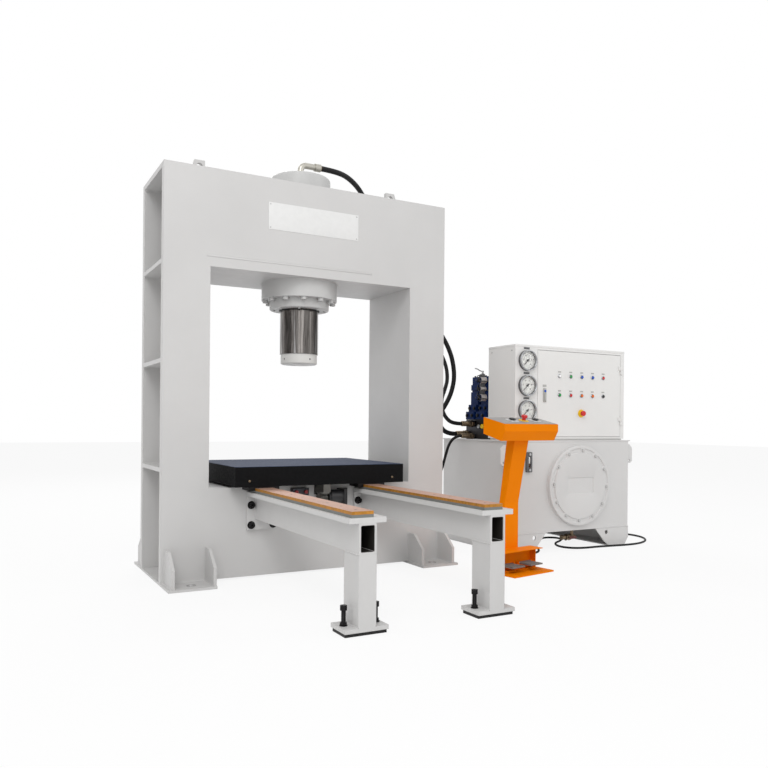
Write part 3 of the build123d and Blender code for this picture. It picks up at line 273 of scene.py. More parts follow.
@dataclass(frozen=True)
class MetalFinish(Finish):
    """Bare metal, turned, ground or plated."""

    grain_scale: float = 900.0
    depth: float = 0.00005
    rounding: float = 0.0012
    stain: float = 0.8

    def dress(self, skin: Skin, colour: Colour) -> None:
        """Adds the stains and the tool marks.

        Args:
            skin: The material in the making.
            colour: The metal's linear colour.
        """
        lines, wide = skin.noise(self.grain_scale), skin.noise(9.0, 5.0)
        tone = skin.mix(skin.span(wide, 0.0, 1.0), scaled(colour, self.stain), colour)
        tone = skin.mix(skin.span(lines, 0.0, 0.35), tone, scaled(colour, self.stain * 0.9))
        rough = self.rough(skin, lines, 0.05, 0.1)
        skin.surface({"Base Color": tone, "Roughness": rough, "Metallic": 1.0})
        skin.relief(lines, self.depth, self.rounding)


@dataclass(frozen=True)
class PlasticFinish(Finish):
    """Moulded plastic, gloss or matt."""

    texture: float = 0.00003
    rounding: float = 0.0008

    def dress(self, skin: Skin, colour: Colour) -> None:
        """Adds faint clouds and the mould's texture.

        Args:
            skin: The material in the making.
            colour: The plastic's linear colour.
        """
        wide = skin.noise(30.0)
        tone = skin.mix(skin.span(wide, 0.0, 1.0), scaled(colour, 0.96), colour)
        skin.surface({"Base Color": tone, "Roughness": self.rough(skin, wide, 0.05, 0.08)})
        skin.relief(skin.noise(1400.0, 2.0), self.texture, self.rounding)


@dataclass(frozen=True)
class RubberFinish(Finish):
    """Hose cover, sheath or pad, matt with rubbed patches."""

    roughness: float = 0.55
    weave: float = 420.0
    weave_depth: float = 0.0002

    def dress(self, skin: Skin, colour: Colour) -> None:
        """Adds dusty patches and the weave.

        Args:
            skin: The material in the making.
            colour: The rubber's linear colour.
        """
        patch = skin.noise(22.0, 5.0)
        dusty = tuple(channel * 1.5 + 0.003 for channel in colour)
        tone = skin.mix(skin.span(patch, 0.0, 0.8), colour, dusty)
        skin.surface({"Base Color": tone, "Roughness": self.rough(skin, patch, 0.12, 0.1)})
        skin.surface({"Specular IOR Level": 0.25})
        skin.relief(skin.noise(self.weave, 4.0), self.weave_depth)


@dataclass(frozen=True)
class FacedFinish(Finish):
    """A piece whose level faces, or what is above a height, differ from its sides."""

    side: Shade = (255, 255, 255)
    metal: Pair = (0.0, 0.0)
    side_roughness: float = 0.5
    shine: float = 0.06
    mottle: Pair = (0.75, 1.2)
    above: float = 0.0
    grain: Point = (1.0, 0.04, 1.0)

    def dress(self, skin: Skin, colour: Colour) -> None:
        """Adds both faces, and chooses by the way that a face points or by its height.

        Args:
            skin: The material in the making.
            colour: The upper face's linear colour.
        """
        vector = skin.coords["Object" if self.above else "Normal"]
        upright = skin.add("SeparateXYZ", {0: vector}).outputs["Z"]
        level = skin.math("GREATER_THAN", upright, self.above or 0.7)
        lines, wide = skin.noise(700.0, 4.0, self.grain), skin.noise(5.0, 5.0)
        blot = skin.noise(60.0, 5.0)
        upper = skin.mix(skin.span(wide, 0.0, 1.0), scaled(colour, 0.82), colour)
        upper = skin.mix(skin.span(lines, 0.0, 0.5), upper, scaled(colour, 0.75))
        sides = (scaled(srgb(self.side), share) for share in self.mottle)
        lower = skin.mix(skin.span(blot, 0.0, 1.0), *sides)
        dull = skin.span(blot, self.side_roughness - 0.1, self.side_roughness + 0.1)
        side_metal, top_metal = self.metal
        metal = top_metal if side_metal == top_metal else skin.between(level, side_metal, top_metal)
        skin.surface({
            "Base Color": skin.mix(level, lower, upper), "Specular IOR Level": self.shine,
            "Roughness": skin.between(level, dull, self.rough(skin, lines, 0.07, 0.12)),
            "Metallic": metal,
        })
        skin.relief(lines, 0.00006, 0.0015)


@dataclass(frozen=True)
class GlassFinish(Finish):
    """A clear or tinted cover."""

    roughness: float = 0.03
    bending: float = 1.25

    def dress(self, skin: Skin, colour: Colour) -> None:
        """Adds the tint and the smears.

        Args:
            skin: The material in the making.
            colour: The glass's linear colour.
        """
        rough = self.rough(skin, skin.noise(40.0, 4.0), 0.0, 0.05)
        skin.surface({"Base Color": colour, "Roughness": rough})
        skin.surface({"Transmission Weight": 1.0, "IOR": self.bending})


@dataclass(frozen=True)
class ChromeFinish(Finish):
    """Hard chrome on a rod, with upright dark and bright streaks in its colour: painted reflections of the
    bands a round rod shows, over the streaks of use.
    """

    roughness: float = 0.16
    dark: Colour = (0.085, 0.077, 0.072)
    middle: Colour = (0.2, 0.187, 0.178)
    bright: Colour = (0.46, 0.45, 0.45)

    def dress(self, skin: Skin, colour: Colour) -> None:
        """Adds the streaks of painted reflection.

        Args:
            skin: The material in the making.
            colour: Not used, as the painted reflection streaks have their own colours.
        """
        # Painted reflection: dark, middle and bright upright bands in the base colour.
        reflection_streak = skin.noise(31.0, 5.0, (1.0, 1.0, 0.05))
        tones = (self.middle, self.dark, self.middle, self.dark, self.bright)
        tone = skin.ramp(reflection_streak, list(zip((0.34, 0.44, 0.5, 0.57, 0.68), tones)))
        rough = self.rough(skin, skin.noise(6.0), 0.0, 0.08)
        skin.surface({"Base Color": tone, "Roughness": rough, "Metallic": 1.0})
        skin.relief(reflection_streak, 0.00002, 0.0012)


@cache
def material(finish: Finish) -> bpy.types.Material:
    """The finish's material, made on its first use."""
    return finish.build()


def coat_nodes(finish: Finish, nodes: Iterable[str]) -> None:
    """Gives CAD nodes one finish, on their objects' own slots.

    Args:
        finish: What they get.
        nodes: The nodes' names.
    """
    for name in nodes:
        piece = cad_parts[name]
        if not piece.material_slots:
            piece.data.materials.append(None)
        for place in piece.material_slots:
            place.link = "OBJECT"
            place.material = material(finish)
        LOG.info("node %s in %s", name, finish.name)


def stand(name: str, data: bpy.types.ID) -> Piece:
    """Puts a new object in the scene.

    Args:
        name: The object's name.
        data: Its mesh, curve, lamp or camera.

    Returns:
        The object.
    """
    piece = bpy.data.objects.new(name, data)
    bpy.context.scene.collection.objects.link(piece)
    return piece


def settle(piece: Piece, finish: Finish, body: str) -> Piece:
    """Finishes a new piece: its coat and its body.

    Args:
        piece: The piece, in place.
        finish: What it is coated with.
        body: The body that it rides on.

    Returns:
        The same piece.
    """
    piece.data.materials.append(material(finish))
    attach(piece, body)
    LOG.info("piece %s on %s", piece.name, body)
    return piece


def to_object(name: str, build: bmesh.types.BMesh, smooth_deg: float) -> Piece:
    """Turns a bmesh into an object in the row frame.

    Args:
        name: The object's name.
        build: The finished bmesh, which is freed.
        smooth_deg: Edges flatter than this are shaded smooth.

    Returns:
        The new object.
    """
    mesh = bpy.data.meshes.new(name)
    bmesh.ops.recalc_face_normals(build, faces=build.faces)
    for face in build.faces:
        face.smooth = True
    for edge in build.edges:
        flat = len(edge.link_faces) == 2 and edge.calc_face_angle(0.0) < math.radians(smooth_deg)
        edge.smooth = flat
    build.to_mesh(mesh)
    build.free()
    return stand(name, mesh)


def smooth_path(points: Sequence[Point], steps: int) -> list[Vector]:
    """A curve through given points.

    Args:
        points: The points that it passes through.
        steps: How many pieces lie between two of them.

    Returns:
        The curve's points.
    """
    known = [Vector(point) for point in points]
    known = [2 * known[0] - known[1], *known, 2 * known[-1] - known[-2]]
    path = []
    for a, b, c, d in zip(known, known[1:], known[2:], known[3:]):
        for i in range(steps):
            t = i / steps
            bend = (2 * a - 5 * b + 4 * c - d) * t * t + (3 * b - a - 3 * c + d) * t ** 3
            path.append(0.5 * (2 * b + (c - a) * t + bend))
    return [*path, known[-2]]


def polar(radius: float, angle: float) -> Pair:
    """The two coordinates of a point at a radius and an angle in radians."""
    return radius * math.cos(angle), radius * math.sin(angle)


def circle(radius: float, count: int, shift: float = 0.0) -> list[Pair]:
    """Even points on a circle, from a shift of so many steps on."""
    return [polar(radius, math.tau * (i + shift) / count) for i in range(count)]


def looking(centre: Point, axis: str) -> Matrix:
    """Takes a lathe's Z axis to a row axis, such as -Y, through a centre.

    Args:
        centre: Where the lathe's origin goes.
        axis: The signed axis.

    Returns:
        The placing matrix.
    """
    vector = Vector([(1 if axis[0] == "+" else -1) * (axis[1] == name) for name in "XYZ"])
    turn = Vector((0, 0, 1)).rotation_difference(vector).to_matrix().to_4x4()
    return Matrix.Translation(Vector(centre)) @ turn


def turn_at(spot: Point, angle: float, axis: str) -> Matrix:
    """A turn in radians about a spot's own axis."""
    return Matrix.Translation(spot) @ Matrix.Rotation(angle, 4, axis)


def disc(radius: float, thick: float, edge: float = 0.6) -> Profile:
    """The profile of a disc with a broken front edge."""
    return [(0.0, 0.0), (radius, 0.0), (radius, thick - edge), (radius - edge, thick), (0.0, thick)]


def drum(radius: float, thick: float) -> Profile:
    """The profile of a plain disc."""
    return [(0, 0), (radius, 0), (radius, thick), (0, thick)]


def ring(inner: float, outer: float, thick: float, edge: float = 0.8) -> Profile:
    """The profile of a ring with broken front edges, closed on itself."""
    front = [(outer, thick - edge), (outer - edge, thick), (inner + edge, thick), (inner, thick - edge)]
    return [(inner, 0.0), (outer, 0.0), *front, (inner, 0.0)]


def thread(radius: float, length: float, pitch: float) -> Profile:
    """The profile of a threaded stud, ridge by ridge.

    Args:
        radius: The ridges' radius.
        length: The stud's length.
        pitch: The step between two ridges.

    Returns:
        The profile.
    """
    ridges = range(int(length / pitch))
    cut = [p for i in ridges for p in ((radius * 0.92, (i + 0.5) * pitch), (radius, (i + 1) * pitch))]
    return [(0.0, 0.0), (radius, 0.0), *cut, (0.0, cut[-1][1])]


def ripple(radius: float, count: int, depth: float) -> list[float]:
    """The radii along a weld bead, drop by drop."""
    return [radius * (1.0 + depth * math.sin(i * 2.4)) for i in range(count)]


class Form:
    """A mesh that is being shaped, in millimetres of the row frame or of a place in it."""

    def __init__(self, place: Matrix | None = None) -> None:
        """Starts with nothing in it, at a place in the row frame."""
        self.build = bmesh.new()
        self.place = place or Matrix()

    def loop(self, spots: Iterable[Point]) -> list[Vert]:
        """Adds points at the form's place."""
        return [self.build.verts.new(self.place @ Vector(spot)) for spot in spots]

    def skin(self, loops: Sequence[list[Vert]]) -> None:
        """Joins each closed loop of points to the next. One point alone makes a tip.

        Args:
            loops: The loops in order.
        """
        for first, second in zip(loops, loops[1:]):
            count = max(len(first), len(second))
            for i in range(count):
                pairs = [(first, i), (first, i + 1), (second, i + 1), (second, i)]
                corners = dict.fromkeys(loop[place % len(loop)] for loop, place in pairs)
                self.build.faces.new(list(corners))

    def solid(self, loops: Sequence[list[Vert]]) -> "Form":
        """Joins closed loops of points and closes both ends.

        Args:
            loops: The loops in order.

        Returns:
            The form, for the next call.
        """
        self.skin(loops)
        for end in (loops[0], loops[-1]):
            self.build.faces.new(end)
        return self

    def box(self, low: Point, high: Point, bevel: float = 0.0) -> "Form":
        """Adds a box, with rounded edges if a bevel is given.

        Args:
            low: Its lowest corner.
            high: Its highest corner.
            bevel: The width of its rounded edges.

        Returns:
            The form, for the next call.
        """
        made = bmesh.ops.create_cube(self.build, size=1.0)["verts"]
        for vert in made:
            spot = [low[i] + (high[i] - low[i]) * (vert.co[i] + 0.5) for i in range(3)]
            vert.co = self.place @ Vector(spot)
        if bevel:
            edges = list({edge for vert in made for edge in vert.link_edges})
            bmesh.ops.bevel(
                self.build, geom=edges, offset=bevel, segments=3, profile=0.5, affect="EDGES"
            )
        return self

    def turned(self, profile: Profile, *spots: Point, axis: str = "+Z", steps: int = 48) -> "Form":
        """Adds a turned piece at each spot.

        Args:
            profile: Radius and height points in order; a zero radius closes an end.
            *spots: Where the lathe's origin goes.
            axis: The signed axis that heights run along.
            steps: How many sides a circle has.

        Returns:
            The form, for the next call.
        """
        for spot in spots:
            turn = looking(spot, axis)
            self.skin([
                self.loop(turn @ Vector((*at, height)) for at in circle(radius, steps if radius else 1))
                for radius, height in profile
            ])
        return self

    def tube(self, path: Iterable[Point], radii: float | list[float], steps: int) -> "Form":
        """Adds a round tube with closed ends along a path.

        Args:
            path: The points of its middle line.
            radii: Its radius, or one for each point.
            steps: How many sides it has.

        Returns:
            The form, for the next call.
        """
        path = [self.place @ Vector(point) for point in path]
        sizes = radii if isinstance(radii, list) else [radii] * len(path)
        across = (path[1] - path[0]).normalized().orthogonal().normalized()
        loops = []
        for i, point in enumerate(path):
            ahead = (path[min(i + 1, len(path) - 1)] - path[max(i - 1, 0)]).normalized()
            across = (across - ahead * across.dot(ahead)).normalized()
            spots = [point + across * x + ahead.cross(across) * y for x, y in circle(sizes[i], steps)]
            loops.append([self.build.verts.new(spot) for spot in spots])
        return self.solid(loops)

    def bead(self, start: Point, end: Point, radius: float) -> "Form":
        """Adds one straight weld bead with a rippled surface.

        Args:
            start: Its first end.
            end: Its other end.
            radius: Its radius.

        Returns:
            The form, for the next call.
        """
        first, last = Vector(start), Vector(end)
        steps = max(3, int((last - first).length / (radius * 1.5)))
        sizes = ripple(radius, steps + 1, 0.14)
        sizes[0] = sizes[-1] = radius * 0.5
        return self.tube([first.lerp(last, i / steps) for i in range(steps + 1)], sizes, 8)

    def letters(self, text: str, height: float, thick: float, place: Matrix) -> "Form":
        """Adds raised plain numbers.

        Args:
            text: What they say.
            height: Their height.
            thick: How far they stand up.
            place: Takes their own X and Y to the face that they stand on.

        Returns:
            The form, for the next call.
        """
        curve = bpy.data.curves.new("letters", "FONT")
        curve.body, curve.size, curve.extrude = text, height * 1.38, thick / 2
        curve.align_x = curve.align_y = "CENTER"
        curve.resolution_u = 3
        piece = stand("letters", curve)
        bpy.context.view_layer.update()
        drawn = piece.evaluated_get(bpy.context.evaluated_depsgraph_get())
        mesh = bpy.data.meshes.new_from_object(drawn)
        mesh.transform(place)
        self.build.from_mesh(mesh)
        bpy.data.objects.remove(piece)
        bpy.data.curves.remove(curve)
        bpy.data.meshes.remove(mesh)
        return self

    def piece(
        self, name: str, finish: Finish, slot: str, smooth: float = 40.0, body: str = "root"
    ) -> Piece:
        """Ends the shaping and settles the piece; edges flatter than smooth are shaded smooth."""
        bmesh.ops.scale(self.build, vec=(MM, MM, MM), verts=self.build.verts)
        return settle(to_object(name, self.build, smooth), finish, body)


FRAME_PAINT = PaintFinish("frame_paint", (204, 203, 202), 0.45)
CYLINDER_PAINT = PaintFinish("cylinder_paint", (196, 196, 195), 0.4)
TANK_PAINT = PaintFinish("tank_paint", (215, 214, 213), 0.42)
CABINET_PAINT = PaintFinish("cabinet_paint", (231, 230, 228), 0.38, 0.0002, 420.0)
STAND_ORANGE = PaintFinish("stand_orange", (243, 132, 0), 0.5, 0.0002, 300.0, 0.92, 0.0025, 0.04)
CONSOLE_GREY = PaintFinish("console_grey", (150, 148, 146), 0.35)
# Painted shade: a near-black paint for sheets and discs set in hollows, standing for the shade inside the
# tube ends and the spanner holes.
HOLLOW_SHADE = PaintFinish("tube_scale", (46, 42, 38), 0.6, 0.0004, 90.0, 0.6)
MOTOR_BLACK = PaintFinish("motor_black", (38, 38, 40), 0.45)
MOTOR_BLUE = PaintFinish("motor_blue", (40, 62, 96), 0.4)
VALVE_BLUE = PaintFinish("valve_blue", (10, 38, 88), 0.5, 0.0003, 180.0, 0.7, 0.0025, 0.12)
HANDLE_RED = PaintFinish("handle_red", (86, 40, 34), 0.5)
HEAD_PAINT = PaintFinish("head_steel", (214, 213, 210), 0.4)
CHROME = ChromeFinish("chrome_rod")
BLACK_STEEL = MetalFinish("black_steel", (52, 51, 52), 0.42, stain=0.6)
GEAR_STEEL = MetalFinish("gear_steel", (120, 118, 114), 0.38)
BRIGHT_STEEL = MetalFinish("bright_steel", (190, 190, 190), 0.28)
VALVE_STEEL = MetalFinish("valve_steel", (74, 74, 78), 0.42, stain=0.7)
BRASS = MetalFinish("fitting_brass", (128, 112, 92), 0.36)
BEZEL_CHROME = MetalFinish("bezel_chrome", (176, 177, 180), 0.2)
GAUGE_STEEL = MetalFinish("gauge_steel", (112, 112, 114), 0.24)
FITTING_ZINC = MetalFinish("fitting_zinc", (196, 193, 184), 0.36)
FITTING_TAN = MetalFinish("fitting_tan", (150, 132, 108), 0.36)
BRONZE = FacedFinish("wear_bronze", (208, 166, 146), 0.42, (182, 126, 52), (0.4, 0.4), 0.45, 0.3)
RAIL_FACE = FacedFinish(
    "rail_face", (128, 130, 127), 0.45, (206, 205, 204), (0.0, 0.2), 0.45, 0.4, (0.97, 1.0), 0.5275,
)
# The table's top is a bluish grey over black sides, with its shine turned down: a painted reflection,
# standing for the sheen that the dark top shows at a low angle.
TABLE_TOP_SHEEN = FacedFinish("table_steel", (70, 79, 100), 0.6, (20, 20, 21), side_roughness=0.6)
PAD_RUBBER = RubberFinish("pad_rubber", (30, 29, 29))
HOSE_RUBBER = RubberFinish("hose_rubber", (17, 17, 18), 0.6)
CABLE_RUBBER = RubberFinish("cable_rubber", (16, 16, 17), 0.6)
PEDAL_RUBBER = RubberFinish("pedal_black", (112, 106, 102))
WHITE_PLASTIC = PlasticFinish("plate_white", (226, 226, 225), 0.4)
BLACK_PLASTIC = PlasticFinish("button_black", (28, 28, 30), 0.25)
GAUGE_GREY = PlasticFinish("gauge_grey", (176, 176, 172), 0.35)
DARK_GREY = PlasticFinish("gear_plastic", (92, 92, 94), 0.4)
BLUE_PLASTIC = PlasticFinish("button_blue", (30, 84, 190), 0.22)
GREEN_PLASTIC = PlasticFinish("button_green", (30, 150, 70), 0.22)
RED_PLASTIC = PlasticFinish("button_red", (206, 30, 32), 0.22)
ORANGE_PLASTIC = PlasticFinish("button_orange", (228, 108, 28), 0.22)
YELLOW_PLASTIC = PlasticFinish("stop_yellow", (240, 196, 30), 0.32)
DIAL_WHITE = PlasticFinish("dial_white", (240, 240, 236), 0.4)
NEEDLE_BLACK = PlasticFinish("needle_black", (22, 22, 24), 0.4)
CAP_RED = PlasticFinish("cap_red", (132, 26, 30), 0.35)
COIL_SILVER = PlasticFinish("coil_silver", (186, 180, 176), 0.35)
LAMP_WHITE = PlasticFinish("lamp_white", (250, 250, 250), 0.15)
CLEAR_GLASS = GlassFinish("clear_glass")
OIL_AMBER = GlassFinish("oil_amber", (226, 170, 70))

NODE_FINISHES: dict[Finish, tuple[str, ...]] = {
    FRAME_PAINT: (
        "frame_front_plate", "frame_back_plate", "crown_top_plate", "crown_bottom_plate", "frame_webs",
        "bed_plate", "frame_feet", "rail_tubes", "rail_legs",
    ),
    RAIL_FACE: ("rail_top_plates",),
    CYLINDER_PAINT: ("cylinder_barrel", "cylinder_gland", "painted_bolts"),
    CHROME: ("ram",),
    HEAD_PAINT: ("ram_head",),
    BLACK_STEEL: ("black_bolts", "table_shoes"),
    BRASS: ("drain_valve",),
    FITTING_ZINC: ("cylinder_elbow",),
    BRONZE: ("wear_strips",),
    PAD_RUBBER: ("leg_pads",),
    TABLE_TOP_SHEEN: ("table_plate",),
    GEAR_STEEL: ("table_rack", "table_pinion"),
    MOTOR_BLACK: ("table_motor",),
    TANK_PAINT: ("tank_shell", "tank_feet", "manhole_cover"),
    DARK_GREY: ("cabinet_gear", "level_gauge"),
    HANDLE_RED: ("drain_handle",),
    CABINET_PAINT: ("cabinet_shell", "cabinet_door"),
    GAUGE_STEEL: ("gauge_cases",),
    NEEDLE_BLACK: ("needle_upper", "needle_middle", "needle_lower"),
    BEZEL_CHROME: ("door_rings",),
    BLUE_PLASTIC: ("button_blue_left", "button_blue_right"),
    GREEN_PLASTIC: ("button_green",),
    RED_PLASTIC: ("button_red", "door_estop", "console_estop"),
    ORANGE_PLASTIC: ("button_orange_left", "button_orange_right"),
    BLACK_PLASTIC: ("button_black", "palm_left", "palm_right"),
    VALVE_STEEL: ("valve_block",),
    VALVE_BLUE: ("valve_stacks",),
    MOTOR_BLUE: ("pump_motor",),
    STAND_ORANGE: ("stand", "console"),
    PEDAL_RUBBER: ("pedal_left", "pedal_right"),
    HOSE_RUBBER: ("main_hose", "return_hose", "table_hose"),
    CABLE_RUBBER: ("control_cable",),
}


@dataclass(frozen=True)
class Run:
    """One hose or cable: its route, thickness, length and the node it stands for."""

    name: str
    node: str
    finish: Finish
    width: float
    length: float
    route: tuple[Point, ...]
    stiffness: str = "stiff"

    def build(self) -> None:
        curve = bpy.data.curves.new(self.name, "CURVE")
        curve.dimensions = "3D"
        curve.bevel_depth = self.width * MM / 2
        curve.bevel_resolution = 6
        curve.use_fill_caps = True
        spline = curve.splines.new("NURBS")
        spline.points.add(len(self.route) - 1)
        for point, place in zip(spline.points, self.route):
            point.co = (*(value * MM for value in place), 1.0)
        spline.order_u = 3
        spline.use_endpoint_u = True
        spline.resolution_u = 10
        piece = settle(stand(self.name, curve), self.finish, "root")
        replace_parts(piece, self.node)


MAIN_HOSE = Run(
    "main_hose_cover", "main_hose", HOSE_RUBBER, 36, 2790,
    (
        (142, 0, 2671), (255, 0, 2671), (400, 85, 2676), (560, 200, 2632), (710, 325, 2510),
        (840, 420, 2310), (985, 455, 2080), (1160, 435, 1890), (1340, 395, 1730), (1455, 360, 1540),
        (1487, 340, 1350), (1452, 326, 1210), (1388, 314, 1105), (1325, 306, 1030), (1316, 302, 935),
        (1388, 300, 868), (1481, 300, 868),
    ),
)
RETURN_HOSE = Run(
    "return_hose_cover", "return_hose", HOSE_RUBBER, 30, 1844,
    (
        (600, 345, 2010), (600, 430, 2010), (690, 515, 1998), (850, 540, 1955), (1040, 515, 1870),
        (1215, 465, 1745), (1345, 415, 1595), (1418, 372, 1440), (1410, 325, 1305), (1350, 280, 1210),
        (1300, 250, 1140), (1294, 232, 1060), (1330, 225, 990), (1396, 225, 950), (1481, 225, 950),
    ),
)
TABLE_HOSE = Run(
    "table_hose_cover", "table_hose", HOSE_RUBBER, 22, 1481,
    (
        (1481, 225, 853), (1425, 225, 853), (1380, 255, 795), (1365, 285, 690), (1352, 325, 560),
        (1300, 380, 440), (1195, 425, 345), (1060, 450, 285), (900, 465, 255), (740, 480, 248),
        (610, 480, 250), (510, 450, 250), (480, 405, 250), (480, 345, 250),
    ),
)
CONTROL_CABLE = Run(
    "control_cable_sheath", "control_cable", CABLE_RUBBER, 16, 4698,
    (
        (1159.3, -724.3, 30), (1148.8, -663.2, 30), (1149.3, -583.9, 14), (1181.9, -502.2, 9),
        (1262.0, -437.6, 9), (1375, -462, 9), (1490, -432, 9), (1615, -418, 9), (1735, -392, 9),
        (1822, -310, 9), (1885, -200, 9), (1975, -95, 9), (2080, 10, 9), (2180, 105, 9), (2275, 150, 9),
        (2350, 110, 9), (2345, 25, 9), (2265, -45, 9), (2165, -100, 9), (2090, -185, 9),
        (2065, -285, 9), (2115, -365, 9), (2215, -392, 9), (2335, -390, 9), (2460, -405, 9),
        (2600, -425, 9), (2740, -420, 9), (2870, -370, 9), (2980, -280, 9), (3050, -160, 9), (3060, -30, 9),
        (3000, 70, 9), (2905, 112, 13), (2820, 90, 45), (2775, 40, 130), (2758, -10, 250),
        (2755, -50, 400), (2760, -82, 560), (2757, -97, 700), (2757, -100, 815), (2757, -100, 905),
        (2668, -100, 905),
    ),
    "medium",
)


@dataclass
class Studio:
    """The floor, the lamps, the world and the camera at the photograph's angle."""

    eye: Point = (-1.911, -4.675, 0.950)
    yaw_deg: float = 28.755
    roll_deg: float = 0.507
    lens: float = 35.16
    sensor: float = 36.0
    shift_up: float = 0.0507
    view_reach: float = 100.0
    floor_half: float = 30.0
    floor_tone: Colour = (0.86, 0.86, 0.86)
    floor_white: float = 0.86
    world_level: float = 0.66
    aim: Point = (0.6, -0.3, 1.1)
    lamps: tuple[tuple[str, Point, float, float], ...] = (
        ("key_lamp", (-3.5, -5.5, 6.5), 3.5, 190.0),
        ("low_lamp", (-0.8, -4.6, 2.7), 2.5, 24.0),
        ("left_lamp", (-9.0, 1.0, 3.0), 4.5, 45.0),
        ("side_lamp", (6.5, -4.5, 4.5), 3.5, 60.0),
        ("back_lamp", (1.0, 6.0, 6.0), 4.0, 160.0),
    )

    def build(self) -> None:
        """Sets up everything that isn't the object."""
        bpy.context.scene.view_settings.view_transform = "Standard"
        self.floor()
        self.world()
        for name, place, size, power in self.lamps:
            self.lamp(name, place, size, power)
        self.camera()

    def floor(self) -> None:
        """A pale floor that shows white to the eye and still takes the shadow."""
        skin = Skin("studio_floor")
        speck = skin.span(skin.noise(3.0), 0.0, 1.0)
        tone = skin.mix(speck, scaled(self.floor_tone, 0.99), self.floor_tone)
        skin.surface({"Base Color": tone, "Roughness": 0.9})
        glow = skin.add("Emission", {"Strength": 1.0})
        white = skin.math("MULTIPLY", skin.seen(), self.floor_white)
        blend = skin.add("MixShader", {0: white, 1: skin.shader.outputs[0], 2: glow.outputs[0]})
        skin.feed(skin.output.inputs["Surface"], blend.outputs[0])
        form, half = Form(), self.floor_half
        corners = ((-half, -half, 0), (half, -half, 0), (half, half, 0), (-half, half, 0))
        form.build.faces.new(form.loop(corners))
        piece = to_object("studio_floor", form.build, 40.0)
        piece.data.materials.append(skin.material)

    def world(self) -> None:
        """A soft even world, white wherever the eye, a gloss or a glass meets it."""
        world = bpy.data.worlds.new("studio_world")
        world.use_nodes = True
        graph = Graph(world.node_tree)
        soft, white = (
            graph.add("Background", {"Color": WHITE, "Strength": level})
            for level in (self.world_level, 1.0)
        )
        blend = graph.add("MixShader", {0: graph.seen(), 1: soft.outputs[0], 2: white.outputs[0]})
        graph.add("OutputWorld", {"Surface": blend.outputs[0]})
        bpy.context.scene.world = world

    def lamp(self, name: str, place: Point, size: float, power: float) -> None:
        """Hangs a wide soft lamp that looks at the middle of the machine.

        Args:
            name: The lamp's name.
            place: Where it hangs.
            size: The side of its square.
            power: Its power in watts.
        """
        data = bpy.data.lights.new(name, "AREA")
        data.size, data.energy = size, power
        piece = stand(name, data)
        piece.location = place
        piece.rotation_euler = (Vector(self.aim) - Vector(place)).to_track_quat("-Z", "Y").to_euler()

    def camera(self) -> None:
        """Stands the camera where the photograph was taken from."""
        data = bpy.data.cameras.new("photo_camera")
        data.lens, data.sensor_width, data.shift_y = self.lens, self.sensor, self.shift_up
        data.clip_end = self.view_reach
        yaw, roll = math.radians(self.yaw_deg), math.radians(self.roll_deg)
        ahead = Vector((math.sin(yaw), math.cos(yaw), 0.0))
        level = Vector((math.cos(yaw), -math.sin(yaw), 0.0))
        above = Vector((0.0, 0.0, 1.0))
        right = level * math.cos(roll) + above * math.sin(roll)
        up = above * math.cos(roll) - level * math.sin(roll)
        piece = stand("photo_camera", data)
        turn = Matrix((right, up, -ahead)).transposed().to_4x4()
        piece.matrix_world = Matrix.Translation(Vector(self.eye)) @ turn
        bpy.context.scene.camera = piece


